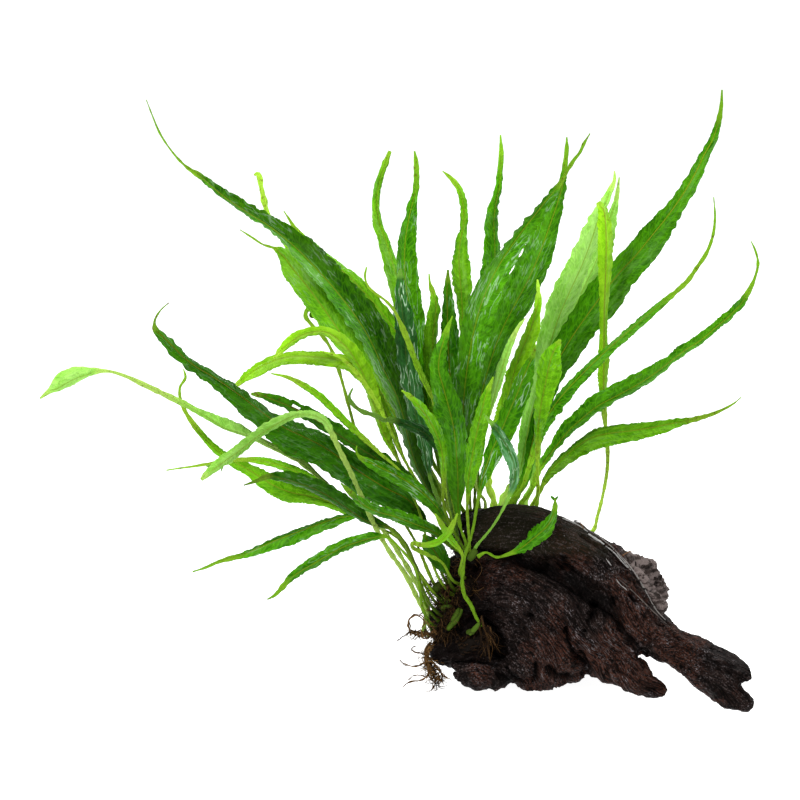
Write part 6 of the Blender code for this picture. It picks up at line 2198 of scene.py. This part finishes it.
@dataclass(frozen=True)
class Studio:
    """Pale floor, soft light and the camera.

    Attributes:
        lens: the camera's focal length, in mm.
        sensor: the width of its sensor, in mm.
        reach: how far it sees, in metres.
        half: half the side of the floor, in metres.
        greys: the two greys of the floor's faint speckle.
        glow: how strongly the floor glows, so that it stays white.
        aim: what the lights are aimed at, in metres.
        lights: name, place and size in metres, and power in watts of each light.
        sky: how strong the light from all round is.
    """

    lens: float = 200.0
    sensor: float = 36.0
    reach: float = 30.0
    half: float = 9.0
    greys: tuple[float, float] = (0.45, 0.48)
    glow: float = 0.97
    aim: Point = (-0.03, 0.0, 0.11)
    lights: tuple[tuple[str, Point, float, float], ...] = (
        ("key", (-0.5, -0.8, 1.1), 0.32, 20.0),
        ("fill", (0.9, -0.9, 0.6), 0.25, 5.0),
        ("rim", (0.5, 0.7, 0.9), 0.25, 12.0),
    )
    sky: float = 0.30

    def camera(self) -> None:
        """Sets the camera on the line of sight."""
        data = bpy.data.cameras.new("camera")
        data.lens = self.lens
        data.sensor_width = self.sensor
        data.clip_end = self.reach
        made = new_object("camera", data)
        made.location = VIEW.eye * MM
        made.rotation_euler = (math.pi / 2 - VIEW.rise, 0.0, 0.0)
        bpy.context.scene.camera = made

    def floor(self) -> None:
        """Lays a pale floor."""
        h = self.half
        mesh = bpy.data.meshes.new("floor")
        mesh.from_pydata([(-h, -h, 0), (h, -h, 0), (h, h, 0), (-h, h, 0)], [], [(0, 1, 2, 3)])
        made = new_object("floor", mesh)
        s = Shader("pale_floor")
        darker, lighter = ((grey,) * 3 for grey in self.greys)
        s.put(s.main.inputs["Base Color"], s.blend(s.speckle(s.place(), 3.0), darker, lighter))
        s.put(s.main.inputs["Roughness"], 0.9)
        s.put(s.main.inputs["Emission Color"], (1.0, 1.0, 1.0))
        s.put(s.main.inputs["Emission Strength"], self.glow)
        mesh.materials.append(s.material)

    def light(self, name: str, spot: Point, size: float, power: float) -> None:
        """Adds a square soft light aimed at the plant.

        Args:
            name: its name.
            spot: where it hangs, in metres.
            size: its side, in metres.
            power: in watts.
        """
        data = bpy.data.lights.new(name, "AREA")
        data.size = size
        data.energy = power
        made = new_object(name, data)
        made.location = spot
        made.rotation_euler = (Vector(self.aim) - Vector(spot)).to_track_quat("-Z", "Y").to_euler()

    def build(self) -> None:
        """Sets up everything round the plant."""
        self.camera()
        self.floor()
        for light in self.lights:
            self.light(*light)
        world = bpy.data.worlds.new("studio")
        world.use_nodes = True
        backdrop = world.node_tree.nodes["Background"]
        backdrop.inputs["Color"].default_value = (1.0, 1.0, 1.0, 1.0)
        backdrop.inputs["Strength"].default_value = self.sky
        bpy.context.scene.world = world
        bpy.context.scene.view_settings.view_transform = "Standard"


def main() -> None:
    """Builds the stump, the fern, its roots and the studio."""
    logging.basicConfig(level=logging.INFO, format="%(message)s")
    Driftwood().build()
    Fern().build()
    Roots().build()
    Studio().build()


if __name__ == "__main__":
    main()
